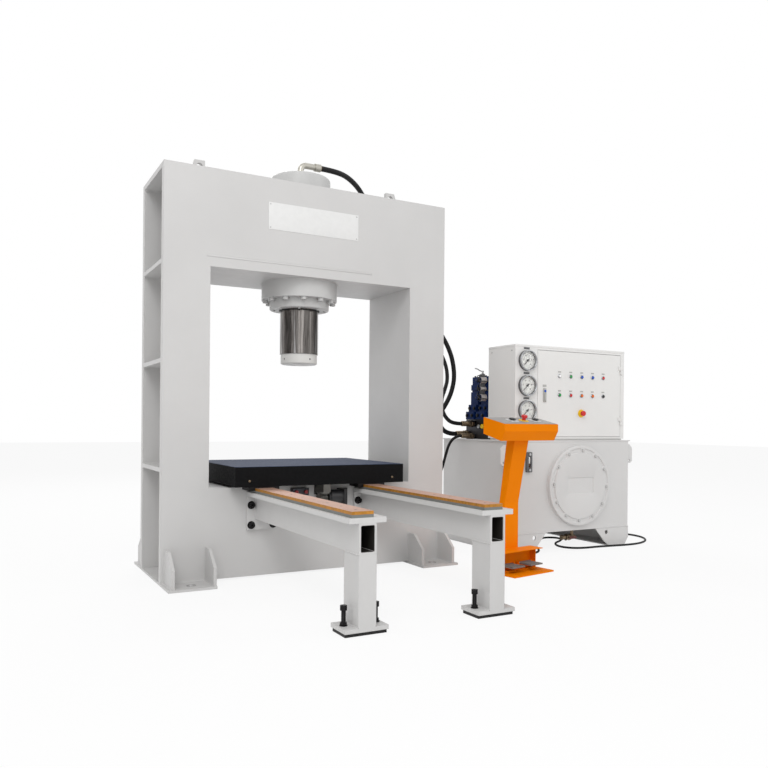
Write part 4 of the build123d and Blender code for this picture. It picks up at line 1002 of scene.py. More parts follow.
@dataclass
class FrameDress:
    """What the frame's plates carry: the bare name plate, the weld seams and the anchor rings."""

    half_w: float = 960.0
    face_y: float = 295.0
    plate_t: float = 50.0
    web_x: float = 715.0
    beam_low: float = 1867.0
    top: float = 2450.0
    rib_levels: Pair = (655.0, 1290.0)
    rib_t: float = 25.0
    bead_r: float = 5.0
    base_t: float = 14.0
    base_x: Pair = (690.0, 955.0)
    gusset_edges: tuple[float, ...] = (685.0, 703.0, 921.0, 939.0)
    gusset_reach: float = 183.0
    gusset_top: float = 205.0
    anchor: Pair = (812.0, 405.0)
    lug: Pair = (650.0, 750.0)
    lug_y: float = 15.0
    name_plate: tuple[float, float, float, float] = (-327.0, 288.0, 2135.0, 2302.0)
    rivet_inset: float = 12.0
    seam: Point = (-707.0, 390.0, 1931.0)

    def build(self) -> None:
        """Builds everything on the frame."""
        self.plates()
        self.column_welds()
        self.foot_welds()

    def plates(self) -> None:
        """The bare white plate on the beam with its four rivets, and the long ground seam below it."""
        x0, x1, z0, z1 = self.name_plate
        front = -self.face_y - 2.0
        form = Form().box((x0, front, z0), (x1, -self.face_y, z1), 0.8)
        form.piece("beam_plate", WHITE_PLASTIC, "frame_paint")
        inset, dome = self.rivet_inset, [(4.5, 0), (3.6, 1.4), (1.8, 2.2), (0, 2.4)]
        spots = [(x, front, z) for x in (x0 + inset, x1 - inset) for z in (z0 + inset, z1 - inset)]
        form = Form().turned(dome, *spots, axis="-Y", steps=16)
        form.piece("beam_plate_rivets", BRIGHT_STEEL, "frame_paint")
        x0, x1, z = self.seam
        form = Form().box((x0, -self.face_y - 0.9, z - 7), (x1, -self.face_y, z + 7), 0.8)
        form.piece("beam_seam", FRAME_PAINT, "frame_paint")

    def column_welds(self) -> None:
        """Seams in the open sides of the columns, round the ribs and under the beam."""
        form, inner = Form(), self.face_y - self.plate_t
        ribs = [level + rise for level in self.rib_levels for rise in (0, self.rib_t)]
        for side in Side:
            web, outer = side.value * self.web_x, side.value * (self.half_w - 4)
            for y in (-inner, inner):
                form.bead((web, y, 20), (web, y, self.beam_low), self.bead_r)
                for level in (*ribs, self.beam_low, self.top - 30):
                    form.bead((web, y, level), (outer, y, level), self.bead_r)
            for level in ribs:
                form.bead((web, -inner, level), (web, inner, level), self.bead_r)
        form.piece("column_welds", FRAME_PAINT, "frame_paint", 80)

    def foot_welds(self) -> None:
        """Seams round the gussets and base plates, a ring at each anchor hole, and the lugs' seams."""
        feet, lugs, base, thin = Form(), Form(), self.base_t, self.bead_r * 0.8
        corners = [(side.value, end) for side in Side for end in (-1, 1)]
        for side, end in corners:
            y = end * self.face_y
            feet.bead(*((side * x, y, base) for x in self.base_x), self.bead_r)
            for x in (side * edge for edge in self.gusset_edges):
                feet.bead((x, y, base + 2), (x, y, self.gusset_top), thin)
                feet.bead((x, y, base), (x, y + end * self.gusset_reach, base), thin)
            lugs.bead(*((side * x, end * self.lug_y, self.top) for x in self.lug), self.bead_r)
        feet.piece("foot_welds", FRAME_PAINT, "frame_paint", 80)
        spots = [(side * self.anchor[0], end * self.anchor[1], base) for side, end in corners]
        form = Form().turned(ring(20, 27, 1.6), *spots, steps=40)
        form.piece("anchor_rings", BRIGHT_STEEL, "frame_paint")
        lugs.piece("lug_welds", FRAME_PAINT, "frame_paint", 80)


@dataclass
class RailDress:
    """The rails' seams, the strips' screws, the legs' threads and the nuts on their bases."""

    rails: Pair = (-360.0, 360.0)
    half_w: float = 45.0
    front: float = -1710.0
    back: float = -320.0
    leg_d: float = 150.0
    low: float = 362.0
    tube_top: float = 502.0
    wall: float = 10.2
    bead_r: float = 4.0
    strip_top: float = 557.0
    strip_shift: float = -27.0
    screws: int = 9
    screw_inset: float = 70.0
    jack_x: float = 82.0
    jack_y: float = -1635.0
    base_top: float = 37.0
    bolt_x: float = 70.0
    bolt_levels: Pair = (326.0, 447.0)
    lining: Pair = (33.6, 34.6)

    def beside(self, half: float) -> list[float]:
        """The places at a distance to either side of each rail's middle."""
        return [rail + side.value * half for rail in self.rails for side in Side]

    def build(self) -> None:
        """Builds everything on both rails."""
        self.welds()
        self.fasteners()
        self.linings()

    def welds(self) -> None:
        """Seams between tube, top plate, end plate, leg and base."""
        form, r, front, back = Form(), self.bead_r, self.front, self.back
        low, top, base, leg = self.low, self.tube_top, self.base_top, front + self.leg_d
        for rail in self.rails:
            left, right = rail - self.half_w, rail + self.half_w
            for x in (left, right):
                form.bead((x, front + 4, top), (x, back, top), r).bead((x, back, low), (x, back, top), r)
                for z in (low, base):
                    form.bead((x, front, z), (x, leg, z), r)
            for y, z in ((back, low), (front + 5, base), (leg, base)):
                form.bead((left, y, z), (right, y, z), r)
        form.piece("rail_welds", FRAME_PAINT, "frame_paint", 80)

    def fasteners(self) -> None:
        """The strips' sunk screws, the jack bolts' threads and nuts, and the end bolts' washers."""
        step = (self.back - self.front - 2 * self.screw_inset) / (self.screws - 1)
        along = [self.front + self.screw_inset + i * step for i in range(self.screws)]
        spots = [(rail + self.strip_shift, y, self.strip_top) for rail in self.rails for y in along]
        screw = [(0, 0), (2.6, 0), (2.6, 0.2), (7, 0.2), (7, 0.1), (7.4, 0)]
        Form().turned(screw, *spots, steps=20).piece("strip_screws", GEAR_STEEL, "black_steel")
        spots = [(x, self.jack_y, self.base_top) for x in self.beside(self.jack_x)]
        form = Form().turned(thread(10.7, 68, 2.5), *spots, steps=24)
        form.turned(disc(19, 3), *spots, steps=32)
        form.turned([(0, 3), (17, 3), (17.5, 4), (17.5, 15), (16.5, 16), (0, 16)], *spots, steps=6)
        form.piece("jack_nuts", BLACK_STEEL, "black_steel", 25)
        spots = [(x, self.back, z) for x in self.beside(self.bolt_x) for z in self.bolt_levels]
        form = Form().turned(ring(18.2, 24, 2.5), *spots, axis="-Y", steps=32)
        form.piece("end_washers", BLACK_STEEL, "black_steel")

    def linings(self) -> None:
        """Dark sheets inside the open ends of the tubes: painted shade, standing for the shade deep in the
        tubes.
        """
        form, low, high = Form(), self.low + self.wall, self.tube_top - self.wall
        inner, outer = self.lining
        sheets = (
            (-outer, low, -inner, high), (inner, low, outer, high),
            (-inner, low, inner, low + 1), (-inner, high - 1, inner, high),
        )
        for rail in self.rails:
            for x0, z0, x1, z1 in sheets:
                form.box((rail + x0, self.front + 5, z0), (rail + x1, self.back - 2, z1))
        form.piece("tube_linings", HOLLOW_SHADE, "frame_paint")


@dataclass
class DialGauge:
    """One pressure gauge: dial, marks, numbers, bezel, glass and the bare label above it."""

    place: str
    z: float
    x: float = 1652.0
    face: float = -360.0
    front: float = -378.0
    cabinet: float = -350.0
    dial_r: float = 67.5
    start_deg: float = -135.0
    sweep_deg: float = 270.0
    marks: int = 50
    numbers: tuple[str, ...] = ("0", "5", "10", "15", "20", "25")
    number_r: float = 38.0
    label_rise: float = 84.0
    label_half: float = 27.0
    bezel: Profile = (
        (67.2, -9), (76.6, -9), (76.6, 2.4), (75, 3.8), (71.5, 4.2), (69.5, 3.2), (67.4, 0.4),
        (67.2, -9),
    )

    def build(self) -> None:
        """Builds the gauge's pieces."""
        self.turned("dial", disc(self.dial_r, 0.8, 0.2), self.face, 64, DIAL_WHITE)
        self.scale()
        self.turned("bezel", self.bezel, self.front, 72, BEZEL_CHROME)
        self.turned("glass", drum(67, 1.6), self.front + 2.5, 64, CLEAR_GLASS, 20)
        low, y, half = self.z + self.label_rise, self.cabinet, self.label_half
        form = Form().box((self.x - half, y - 1.2, low), (self.x + half, y, low + 14), 0.5)
        form.piece(f"gauge_{self.place}_label", DARK_GREY, "gauge_steel")

    def turned(
        self, part: str, profile: Profile, y: float, steps: int, finish: Finish, smooth: float = 40.0
    ) -> None:
        """Makes one round piece of the gauge."""
        form = Form().turned(profile, (self.x, y, self.z), axis="-Y", steps=steps)
        form.piece(f"gauge_{self.place}_{part}", finish, "gauge_steel", smooth)

    def angle(self, share: float) -> float:
        """The angle in radians at a share of the dial's sweep."""
        return math.radians(self.start_deg + self.sweep_deg * share)

    def scale(self) -> None:
        """The dial's marks and numbers."""
        form = Form()
        for i in range(self.marks + 1):
            inner, half = (50, 0.95) if i % 10 == 0 else (55, 0.5)
            form.place = turn_at((self.x, self.face - 0.8, self.z), self.angle(i / self.marks), "Y")
            form.box((-half, -0.25, inner), (half, 0, 61))
        for i, number in enumerate(self.numbers):
            up, across = polar(self.number_r, self.angle(i / (len(self.numbers) - 1)))
            spot = (self.x + across, self.face - 0.9, self.z + up)
            form.letters(number, 10.5, 0.3, turn_at(spot, math.pi / 2, "X"))
        form.piece(f"gauge_{self.place}_scale", NEEDLE_BLACK, "needle_black", 10)


@dataclass
class DoorDress:
    """The cabinet door's bezels, lamps, labels, emergency stop plate and lock."""

    columns: tuple[float, ...] = (1969.0, 2080.0, 2192.0, 2303.0, 2415.0)
    rows: Pair = (1315.0, 1172.0)
    lamps: tuple[tuple[str, int, Finish], ...] = (
        ("white", 0, LAMP_WHITE), ("green", 1, GREEN_PLASTIC), ("red", 4, RED_PLASTIC),
    )
    face: float = -350.0
    stop: Pair = (2188.0, 1036.0)
    lock: Pair = (1824.0, 1168.0)

    def fit(self, form: Form, name: str, finish: Finish) -> Piece:
        """Ends a piece that swings with the door."""
        return form.piece(name, finish, "bezel_chrome", body="door")

    def build(self) -> None:
        """Builds what is fixed in the door; its bezels stand for the plain rings."""
        face = self.face
        spots = [(x, face, z) for z in self.rows for x in self.columns]
        form = Form().turned(ring(10.6, 15, 6.2, 1.6), *spots, axis="-Y", steps=36)
        form.turned(ring(14.4, 16.4, 1.6, 0.5), *spots, axis="-Y", steps=24)
        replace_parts(self.fit(form, "door_bezels", BEZEL_CHROME), "door_rings")
        dome = [(10.4, 0), (10.4, 7), (9.8, 9.6), (7.6, 11.6), (4.2, 12.6), (0, 13)]
        for name, column, tint in self.lamps:
            self.fit(Form().turned(dome, spots[column], axis="-Y", steps=32), f"lamp_{name}", tint)
        form = Form()
        for x, _, z in spots:
            form.box((x - 15, face - 0.8, z + 27), (x + 15, face, z + 37), 0.3)
        x, z = self.lock
        form.box((x - 18, face - 0.8, z + 62), (x + 18, face, z + 78), 0.3)
        self.fit(form, "button_labels", GAUGE_GREY)
        stop = (self.stop[0], face, self.stop[1])
        form = Form().turned(ring(14.4, 30.6, 4.4, 1.0), stop, axis="-Y")
        form.turned(ring(14.4, 19, 12, 1.2), stop, axis="-Y", steps=40)
        self.fit(form, "door_stop_plate", YELLOW_PLASTIC)
        form = Form().box((x - 14, face - 8, z - 52), (x + 14, face, z + 52), 4.0)
        form.box((x - 8, face - 14, z - 44), (x + 8, face - 7, z + 12), 3.0)
        self.fit(form, "door_lock", GAUGE_GREY)
        form = Form().turned(disc(9, 5, 1.0), (x, face - 8, z + 30), axis="-Y", steps=32)
        self.fit(form, "door_lock_key", BLUE_PLASTIC)


@dataclass
class CabinetDress:
    """The cabinet's side screws, roof lip, louvres and the bush of its cable."""

    low: Point = (1547.0, -350.0, 842.0)
    high: Point = (2640.0, -30.0, 1532.0)
    screw_lines: Pair = (-310.0, -70.0)
    screw_levels: Pair = (885.0, 1490.0)
    lip: float = 1.5
    slats: int = 9
    slat: Profile = ((0, 0), (8, 4), (0, 14))
    slat_low: float = 950.0
    slat_step: float = 26.0
    slat_starts: Pair = (1700.0, 2300.0)
    slat_w: float = 200.0
    gland: Point = (2640.0, -100.0, 905.0)

    def build(self) -> None:
        """Builds the cabinet's small pieces."""
        (x0, y0, _), (x1, y1, z1) = self.low, self.high
        form, dome = Form(), [(5.5, 0), (4.8, 1.8), (2.6, 2.8), (0, 3.1)]
        for x, axis in ((x0, "-X"), (x1, "+X")):
            spots = [(x, y, z) for y in self.screw_lines for z in self.screw_levels]
            form.turned(dome, *spots, axis=axis, steps=16)
        form.piece("cabinet_screws", BRIGHT_STEEL, "cabinet_paint")
        lip = self.lip
        form = Form().box((x0 - lip, y0 - lip, z1 - 14), (x1 + lip, y1 + lip, z1 + 2), 1.0)
        form.piece("cabinet_roof", CABINET_PAINT, "cabinet_paint")
        form = Form()
        for z in (self.slat_low + i * self.slat_step for i in range(self.slats)):
            for x in self.slat_starts:
                form.solid([
                    form.loop((end, y1 + out, z - drop) for out, drop in self.slat)
                    for end in (x, x + self.slat_w)
                ])
        form.piece("cabinet_louvres", CABINET_PAINT, "cabinet_paint")
        bush = [(8.4, 34), (12, 34), (15, 28), (15.6, 14), (8.4, 14), (8.4, 34)]
        nut = [(0, 0), (20, 0), (20, 1), (20, 13), (18, 14), (0, 14)]
        form = Form().turned(bush, self.gland, axis="+X", steps=24)
        form.turned(nut, self.gland, axis="+X", steps=6)
        form.piece("cable_gland", DARK_GREY, "gear_plastic", 30)


@dataclass
class TankDress:
    """The tank's cover, level window, filler, drain and seams."""

    lid: float = 830.0
    front: float = -365.0
    level: Point = (1659.0, 598.0, 746.0)
    cover_spot: Pair = (2150.0, 487.0)
    cover_r: float = 305.0
    cover_t: float = 18.0
    ring_t: float = 12.0
    bolt_circle: float = 265.0
    bolts: int = 12
    bolt_turn_deg: float = -3.5
    groove: Pair = (252.0, 284.0)
    groove_depth: float = 8.0
    slope: float = 5.0
    land: float = 17.0
    panel: Pair = (133.5, 62.0)
    panel_depth: float = 6.0
    steps: int = 360
    drain: Point = (2100.0, -300.0, 85.0)
    filler: Pair = (1880.0, 330.0)
    return_filter: Pair = (2430.0, 330.0)
    walls: Pair = (1492.0, 2683.0)
    wall_levels: Pair = (147.0, 822.0)
    wall_back: float = 500.0
    foot_w: float = 345.0

    def build(self) -> None:
        """Builds the tank's small pieces."""
        self.cover()
        self.level_window()
        self.lid_pieces()
        self.welds()
        self.drain_pieces()

    def bolt_angles(self) -> list[float]:
        """The cover bolts' places round their circle, in radians."""
        turn = math.radians(self.bolt_turn_deg)
        return [math.tau * i / self.bolts + turn for i in range(self.bolts)]

    def cover_place(self, rise: float = 0.0) -> Matrix:
        """Takes the cover's own axes, its face forward, to its place at a rise over the tank's ring."""
        return looking((self.cover_spot[0], self.front - self.ring_t - rise, self.cover_spot[1]), "-Y")

    def sunk(self, radius: float, angle: float) -> float:
        """How deep the cover's groove is at a point; it stops at a land round each bolt.

        Args:
            radius: The point's distance from the middle.
            angle: Its angle in radians.

        Returns:
            The depth in millimetres.
        """
        gap = min(abs((angle - bolt + math.pi) % math.tau - math.pi) for bolt in self.bolt_angles())
        (low, high), depth = self.groove, self.groove_depth
        for reach in (gap * self.bolt_circle - self.land, radius - low, high - radius):
            depth *= min(1.0, max(0.0, reach / self.slope))
        return depth

    def rounded(self, wide: float, tall: float, radius: float) -> list[Pair]:
        """The outline of a rectangle with round corners.

        Args:
            wide: Half its width.
            tall: Half its height.
            radius: Its corners' radius.

        Returns:
            Its points in order.
        """
        points = []
        for quarter, (x, z) in enumerate(((1, 1), (-1, 1), (-1, -1), (1, -1))):
            for i in range(7):
                dx, dz = polar(radius, math.pi / 2 * (quarter + i / 6))
                points.append((x * (wide - radius) + dx, z * (tall - radius) + dz))
        return points

    def cover(self) -> None:
        """The pressed cover: a groove between its bolts and a sunk blank panel."""
        form = Form(self.cover_place())
        (low, high), edge, top = self.groove, self.cover_r, self.cover_t
        flat = (low, low + 2.5, low + 5, low + 12, high - 12, high - 5, high - 2.5, high, edge - 6)
        rim = ((edge - 3, 0.8), (edge - 0.8, 3.0), (edge, 6.0), (edge, top))
        angles = [math.tau * i / self.steps for i in range(self.steps)]
        outer = [
            form.loop((*polar(radius, a), top - drop - self.sunk(radius, a)) for a in angles)
            for radius, drop in (*((radius, 0.0) for radius in flat), *rim)
        ]
        (wide, tall), deep = self.panel, self.panel_depth
        inner = [
            form.loop((x, z, top - drop) for x, z in self.rounded(wide - inset, tall - inset, 9.0))
            for inset, drop in ((0.0, 0.0), (0.8, 0.6), (3.6, deep - 0.3), (5.0, deep))
        ]
        for loops in (outer, inner):
            form.skin(loops)
            form.build.faces.new(loops[-1])
        edges = form.build.edges
        rims = [
            edges.get((loop[i - 1], loop[i])) for loop in (outer[0], inner[0]) for i in range(len(loop))
        ]
        bmesh.ops.triangle_fill(form.build, edges=rims, use_beauty=True)
        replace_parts(form.piece("cover_plate", TANK_PAINT, "tank_paint", 35), "manhole_cover")

    def cover_bolts(self, form: Form) -> None:
        """Adds the cover's hexagon bolts on their washers.

        Args:
            form: Where they go.
        """
        form.place = self.cover_place(self.cover_t)
        spots = [(*polar(self.bolt_circle, angle), 0.0) for angle in self.bolt_angles()]
        form.turned([(0, -6), (5, -6), (5, 0), (12.6, 0), (12.6, 1.4), (0, 1.4)], *spots, steps=24)
        form.turned([(0, 1.4), (11, 1.4), (11, 8.4), (9.6, 10), (0, 10)], *spots, steps=6)

    def level_window(self) -> None:
        """The level gauge's glass, its oil, its pale back and its two chromed screws."""
        x, z0, z1 = self.level
        front, low, high, oil = self.front - 22, z0 + 35, z1 - 35, z0 + 66
        for name, finish, half, (near, far), (foot, head), bevel in (
            ("glass", CLEAR_GLASS, 8.6, (1, 6), (low, high), 2.0),
            ("oil", OIL_AMBER, 8, (6.2, 7.8), (low, oil), 0),
            ("back", DIAL_WHITE, 8, (6.2, 7.6), (oil, high), 0),
        ):
            form = Form().box((x - half, front + near, foot), (x + half, front + far, head), bevel)
            form.piece(f"level_{name}", finish, "gauge_grey")
        screw = [(0, 0), (10, 0), (10.4, 1), (10.4, 4), (9, 5), (0, 5)]
        spots = [(x, front - 3, z) for z in (z0 + 17, z1 - 17)]
        form = Form().turned(screw, *spots, axis="-Y", steps=6)
        form.piece("level_screws", BRIGHT_STEEL, "gauge_grey", 25)

    def lid_pieces(self) -> None:
        """The filler's breather cap and the return filter's head on the lid, behind the cabinet."""
        cap = [(0, 0), (38, 0), (38, 8), (30, 8), (30, 26), (41, 28), (42, 52), (36, 58), (0, 58)]
        form = Form().turned(cap, (*self.filler, self.lid), steps=40)
        form.piece("filler_cap", BRIGHT_STEEL, "valve_steel", 30)
        head = [(0, 0), (62, 0), (62, 12), (50, 14), (50, 60), (56, 62), (56, 80), (48, 84), (0, 84)]
        form = Form().turned(head, (*self.return_filter, self.lid))
        form.piece("return_filter", DARK_GREY, "gear_plastic", 30)

    def welds(self) -> None:
        """Seams under the lid, at the feet and round the manhole's ring."""
        form, y, foot = Form(), self.front, self.foot_w
        (left, right), (low, high) = self.walls, self.wall_levels
        for x in (left, right):
            form.bead((x, y - 1, high), (x, self.wall_back, high), 4)
        for x0, x1, z in ((left, right, high), (left, left + foot, low), (right - foot, right, low)):
            form.bead((x0, y, z), (x1, y, z), 4)
        x, z = self.cover_spot
        around = [(x + dx, y, z + dz) for dx, dz in circle(self.cover_r + 1, 220)]
        form.tube([*around, around[0]], ripple(4, 221, 0.12), 8)
        form.piece("tank_welds", TANK_PAINT, "tank_paint", 80)

    def drain_pieces(self) -> None:
        """The drain valve's hexagons, its outlet plug and the lever's red sleeve."""
        x, y, z = self.drain
        nut = [(0, 0), (25, 0), (25.5, 1), (25.5, 15), (24.5, 16), (0, 16)]
        form = Form().turned(nut, (x - 16, y, z), (x + 16, y, z), axis="+X", steps=6)
        form.turned(drum(20, 14), (x - 42, y, z), axis="-X", steps=6)
        form.piece("drain_nuts", BRASS, "fitting_brass", 25)
        form = Form().box((x + 22, y - 38.5, z - 11), (x + 66, y - 29, z + 11), 3.5)
        form.piece("drain_sleeve", HANDLE_RED, "handle_red", body="drain_lever")


@dataclass
class HoseEnd:
    """A crimped ferrule at one end of a hose."""

    name: str
    spot: Point
    axis: str
    radius: float
    length: float = 58.0
    grooves: int = 5

    def build(self) -> None:
        """Builds the ferrule with its crimped grooves."""
        r, end = self.radius, self.length
        profile, step = [(0, -6), (r + 3, -6), (r + 6, -2)], (end - 12) / self.grooves
        for start in (i * step for i in range(self.grooves)):
            profile += [(r + 6, start), (r + 6, start + step * 0.55), (r + 4.4, start + step * 0.7)]
        profile += [(r + 6.2, end - 12), (r + 6.2, end - 2), (r + 4, end), (0, end)]
        form = Form().turned(profile, self.spot, axis=self.axis, steps=32)
        form.piece(f"{self.name}_ferrule", FITTING_TAN, "hose_rubber", 25)


@dataclass
class ValveDress:
    """The valves' coils, plugs, screws and the fittings on their manifold."""

    left: float = 1600.0
    block_top: float = 985.0
    stack_h: float = 336.0
    stations: Pair = (70.0, 210.0)
    coils: tuple[Pair, ...] = ((168.0, 26.0), (236.0, 16.0), (304.0, 24.0))
    reach: float = 66.0
    ports: tuple[Point, ...] = ((300.0, 868.0, 18.0), (225.0, 950.0, 15.0), (225.0, 853.0, 11.0))
    hose_x: float = 1541.0
    spare_z: float = 930.0
    plug_ys: Pair = (30.0, 150.0)
    cap_y: float = 90.0

    def build(self) -> None:
        """Builds everything on the manifold."""
        self.coil_pieces()
        self.screws()
        self.fittings()
        self.lever()

    def coil_pieces(self) -> None:
        """Each coil's plated sleeve, ribbed nut, and square connector with its gland and lead."""
        sleeves, nuts, plugs, leads = Form(), Form(), Form(), Form()
        x, y, end, length = self.left, self.stations[0], self.left - self.reach, self.reach - 10
        for rise, radius in self.coils:
            z, r, half, nut = self.block_top + rise, radius + 1.2, radius * 0.5, radius * 0.7 + 1
            body = [(half, 0), (r - 2, 0), (r, 2), (r, length * 0.4), (r - 1.2, length * 0.43)]
            body += [(r, length * 0.46), (r, length - 2), (r - 2, length), (half, length), (half, 0)]
            sleeves.turned(body, (end + 2, y, z), axis="+X", steps=40)
            knob = [(0, 0), (nut, 0), (nut, 28), (nut - 2, 33), (0, 35)]
            nuts.place = Matrix()
            nuts.turned(knob, (end, y, z), axis="-X", steps=40)
            for i in range(12):
                nuts.place = turn_at((end, y, z), math.tau * i / 12, "X")
                nuts.box((-26, -1.6, nut - 1), (-2, 1.6, nut + 1.4))
            top = z + radius
            plugs.box((x - 52, y - 14, top), (x - 22, y + 14, top + 24), 2.5)
            gland = [(0, 0), (8, 0), (8, 10), (6, 13), (0, 13)]
            plugs.turned(gland, (x - 52, y, top + 12), axis="-X", steps=6)
            bends = [(x - 62, y, top + 12), (x - 84, y, top + 6), (x - 88, y - 20, top - 30)]
            bends += [(x - 60, y - 50, z - 10), (x - 40, -31, z - 16)]
            leads.tube(smooth_path(bends, 8), 3.4, 10)
        sleeves.piece("coil_sleeves", COIL_SILVER, "valve_blue", 30)
        nuts.piece("coil_nuts", BLACK_PLASTIC, "valve_blue", 30)
        plugs.piece("coil_plugs", DARK_GREY, "gear_plastic", 30)
        leads.piece("coil_leads", BLACK_PLASTIC, "cable_rubber", 60)

    def screws(self) -> None:
        """Four long socket screws on top of each station, and screws on the sandwich plates."""
        x, z = self.left, self.block_top
        cap = [(0, 6), (3.5, 6), (3.5, 10), (7, 10), (7.6, 9), (7.6, 0), (0, 0)]
        tops = [
            (x + dx, y + dy, z + self.stack_h)
            for y in self.stations for dx in (18, 138) for dy in (-30, 30)
        ]
        form, head = Form().turned(cap, *tops, steps=20), [(0, 0), (13, 0), (13, 10), (9, 12), (0, 12)]
        for dx, dz in ((-56, 30), (-32, 88)):
            spots = [(x + dx, y + dy, z + dz) for y in self.stations for dy in (-32, 32)]
            form.turned(head, *spots, axis="-X", steps=6)
        form.piece("stack_screws", BLACK_STEEL, "black_steel", 25)

    def fittings(self) -> None:
        """The hexagon nuts at the hoses, and the plugs and the yellow cap in the spare ports."""
        form = Form()
        for y, z, r in self.ports:
            for x, wide, long in ((self.hose_x, r + 9, 20), (self.left - 36, r + 12, 26)):
                nut = [(0, 0), (wide - 2, 0), (wide, 2), (wide, long - 2), (wide - 2, long), (0, long)]
                form.turned(nut, (x, y, z), axis="+X", steps=6)
        form.piece("port_nuts", FITTING_TAN, "valve_steel", 25)
        face, z = self.left - 12, self.spare_z
        plug = [(0, 0), (17, 0), (17, 4), (15, 6), (8, 6), (8, 3), (0, 3)]
        cap = [(0, 0), (18, 0), (18, 14), (14, 18), (0, 18)]
        form = Form().turned(plug, *((face, y, z) for y in self.plug_ys), axis="-X", steps=32)
        form.piece("port_plugs", BRIGHT_STEEL, "valve_steel", 30)
        form = Form().turned(cap, (face, self.cap_y, z), axis="-X", steps=32)
        form.piece("port_cap", YELLOW_PLASTIC, "valve_steel", 30)

    def lever(self) -> None:
        """The hand adjuster on top: a screw, a lock nut and a small lever."""
        x, y, z = self.left - 6, self.stations[0] + 40, self.block_top + self.stack_h
        screw = [(0, 0), (14, 0), (14, 12), (7, 14), (7, 34), (9, 36), (9, 44), (0, 46)]
        form = Form().turned(screw, (x, y, z), steps=24).turned(drum(12, 8), (x, y, z + 16), steps=6)
        rod = [(x - reach, y, z + rise) for reach, rise in ((0, 40), (26, 44), (50, 56), (74, 60))]
        form.tube(smooth_path(rod, 5), 4.2, 12).piece("valve_lever", BRIGHT_STEEL, "valve_steel", 35)


@dataclass
class PumpDress:
    """The pump motor's fan grille, coupling bolts and box cover."""

    spot: Pair = (2150.0, 230.0)
    base: float = 848.0
    top: float = 1310.0
    rings: range = range(24, 132, 18)
    bars: int = 4
    bar_reach: float = 125.0
    bolts: int = 8
    bolt_circle: float = 130.0
    box_y: float = 405.0
    box_half: float = 50.0
    box_levels: Pair = (1065.0, 1165.0)

    def build(self) -> None:
        """Builds the motor's small pieces."""
        x, y = self.spot
        form = Form()
        for radius in self.rings:
            form.turned(ring(radius, radius + 5, 3, 0.8), (x, y, self.top), steps=64)
        for i in range(self.bars):
            form.place = turn_at((x, y, self.top), math.pi * i / self.bars, "Z")
            form.box((-self.bar_reach, -3, 0), (self.bar_reach, 3, 3))
        form.piece("fan_grille", MOTOR_BLACK, "motor_black", 30)
        spots = [(x + dx, y + dy, self.base) for dx, dy in circle(self.bolt_circle, self.bolts, 0.5)]
        Form().turned(drum(9, 9), *spots, steps=6).piece("bell_bolts", BLACK_STEEL, "black_steel", 25)
        (low, high), half, y = self.box_levels, self.box_half, self.box_y
        form = Form().box((x - half, y, low), (x + half, y + 4, high), 1.5)
        form.piece("terminal_cover", MOTOR_BLUE, "motor_blue")


@dataclass
class DriveDress:
    """The table drive's screws, oil pipes and valve block under the table."""

    y: float = -350.0
    z: float = 475.0
    face: float = -295.0
    pipes: Pair = (96.0, 124.0)
    pipe_bends: tuple[Point, ...] = ((0, 0, 80), (0, 0, 112), (4, 22, 136), (6, 56, 142))
    screw_x: float = 165.0
    screw_circle: float = 34.0
    bracket_bolts: tuple[Point, ...] = ((195.0, -307.0, 435.0), (195.0, -307.0, 511.0))
    valve_box: tuple[float, float, float, float] = (-170.0, -62.0, 494.0, 540.0)

    def build(self) -> None:
        """Builds the drive's screws and pipes, then its valve block."""
        y, z = self.y, self.z
        spots = [(self.screw_x, y + dy, z + dz) for dy, dz in circle(self.screw_circle, 6)]
        screw = [(0, 3), (3, 3), (3, 7), (6, 7), (6, 0), (0, 0)]
        form = Form().turned(screw, *spots, axis="+X", steps=16)
        form.turned(drum(9, 7), *self.bracket_bolts, axis="-Y", steps=6)
        form.piece("drive_bolts", BLACK_STEEL, "black_steel", 30)
        form = Form()
        for x in self.pipes:
            form.turned(drum(12, 12), (x, y, z - 70), axis="-Z", steps=6)
            bends = [(x + right, y + back, z - drop) for right, back, drop in self.pipe_bends]
            form.tube(smooth_path(bends, 8), 7, 14)
        form.piece("drive_pipes", MOTOR_BLACK, "motor_black", 40)
        self.valve()

    def valve(self) -> None:
        """The drive's small valve block on the frame, its red caps and its pipe to the motor."""
        (x0, x1, z0, z1), face, y = self.valve_box, self.face, self.face - 8
        form = Form().box((x0, face - 44, z0), (x1, face, z1), 2.5)
        bends = [(x1 - 30, y, z0 + 4), (x1 - 30, y, z0 - 20), (x1 - 12, y, z0 - 34)]
        form.tube(smooth_path([*bends, (x1 + 40, y, z0 - 34), (64, y, z0 - 34)], 8), 4.8, 14)
        form.piece("drive_valve", VALVE_STEEL, "motor_black", 40)
        cap = [(0, 0), (12, 0), (12, 12), (10.5, 14), (0, 14)]
        spots = [(x, face - 44, (z0 + z1) / 2) for x in (x0 + 22, x1 - 22)]
        Form().turned(cap, *spots, axis="-Y", steps=28).piece("drive_caps", CAP_RED, "handle_red", 30)


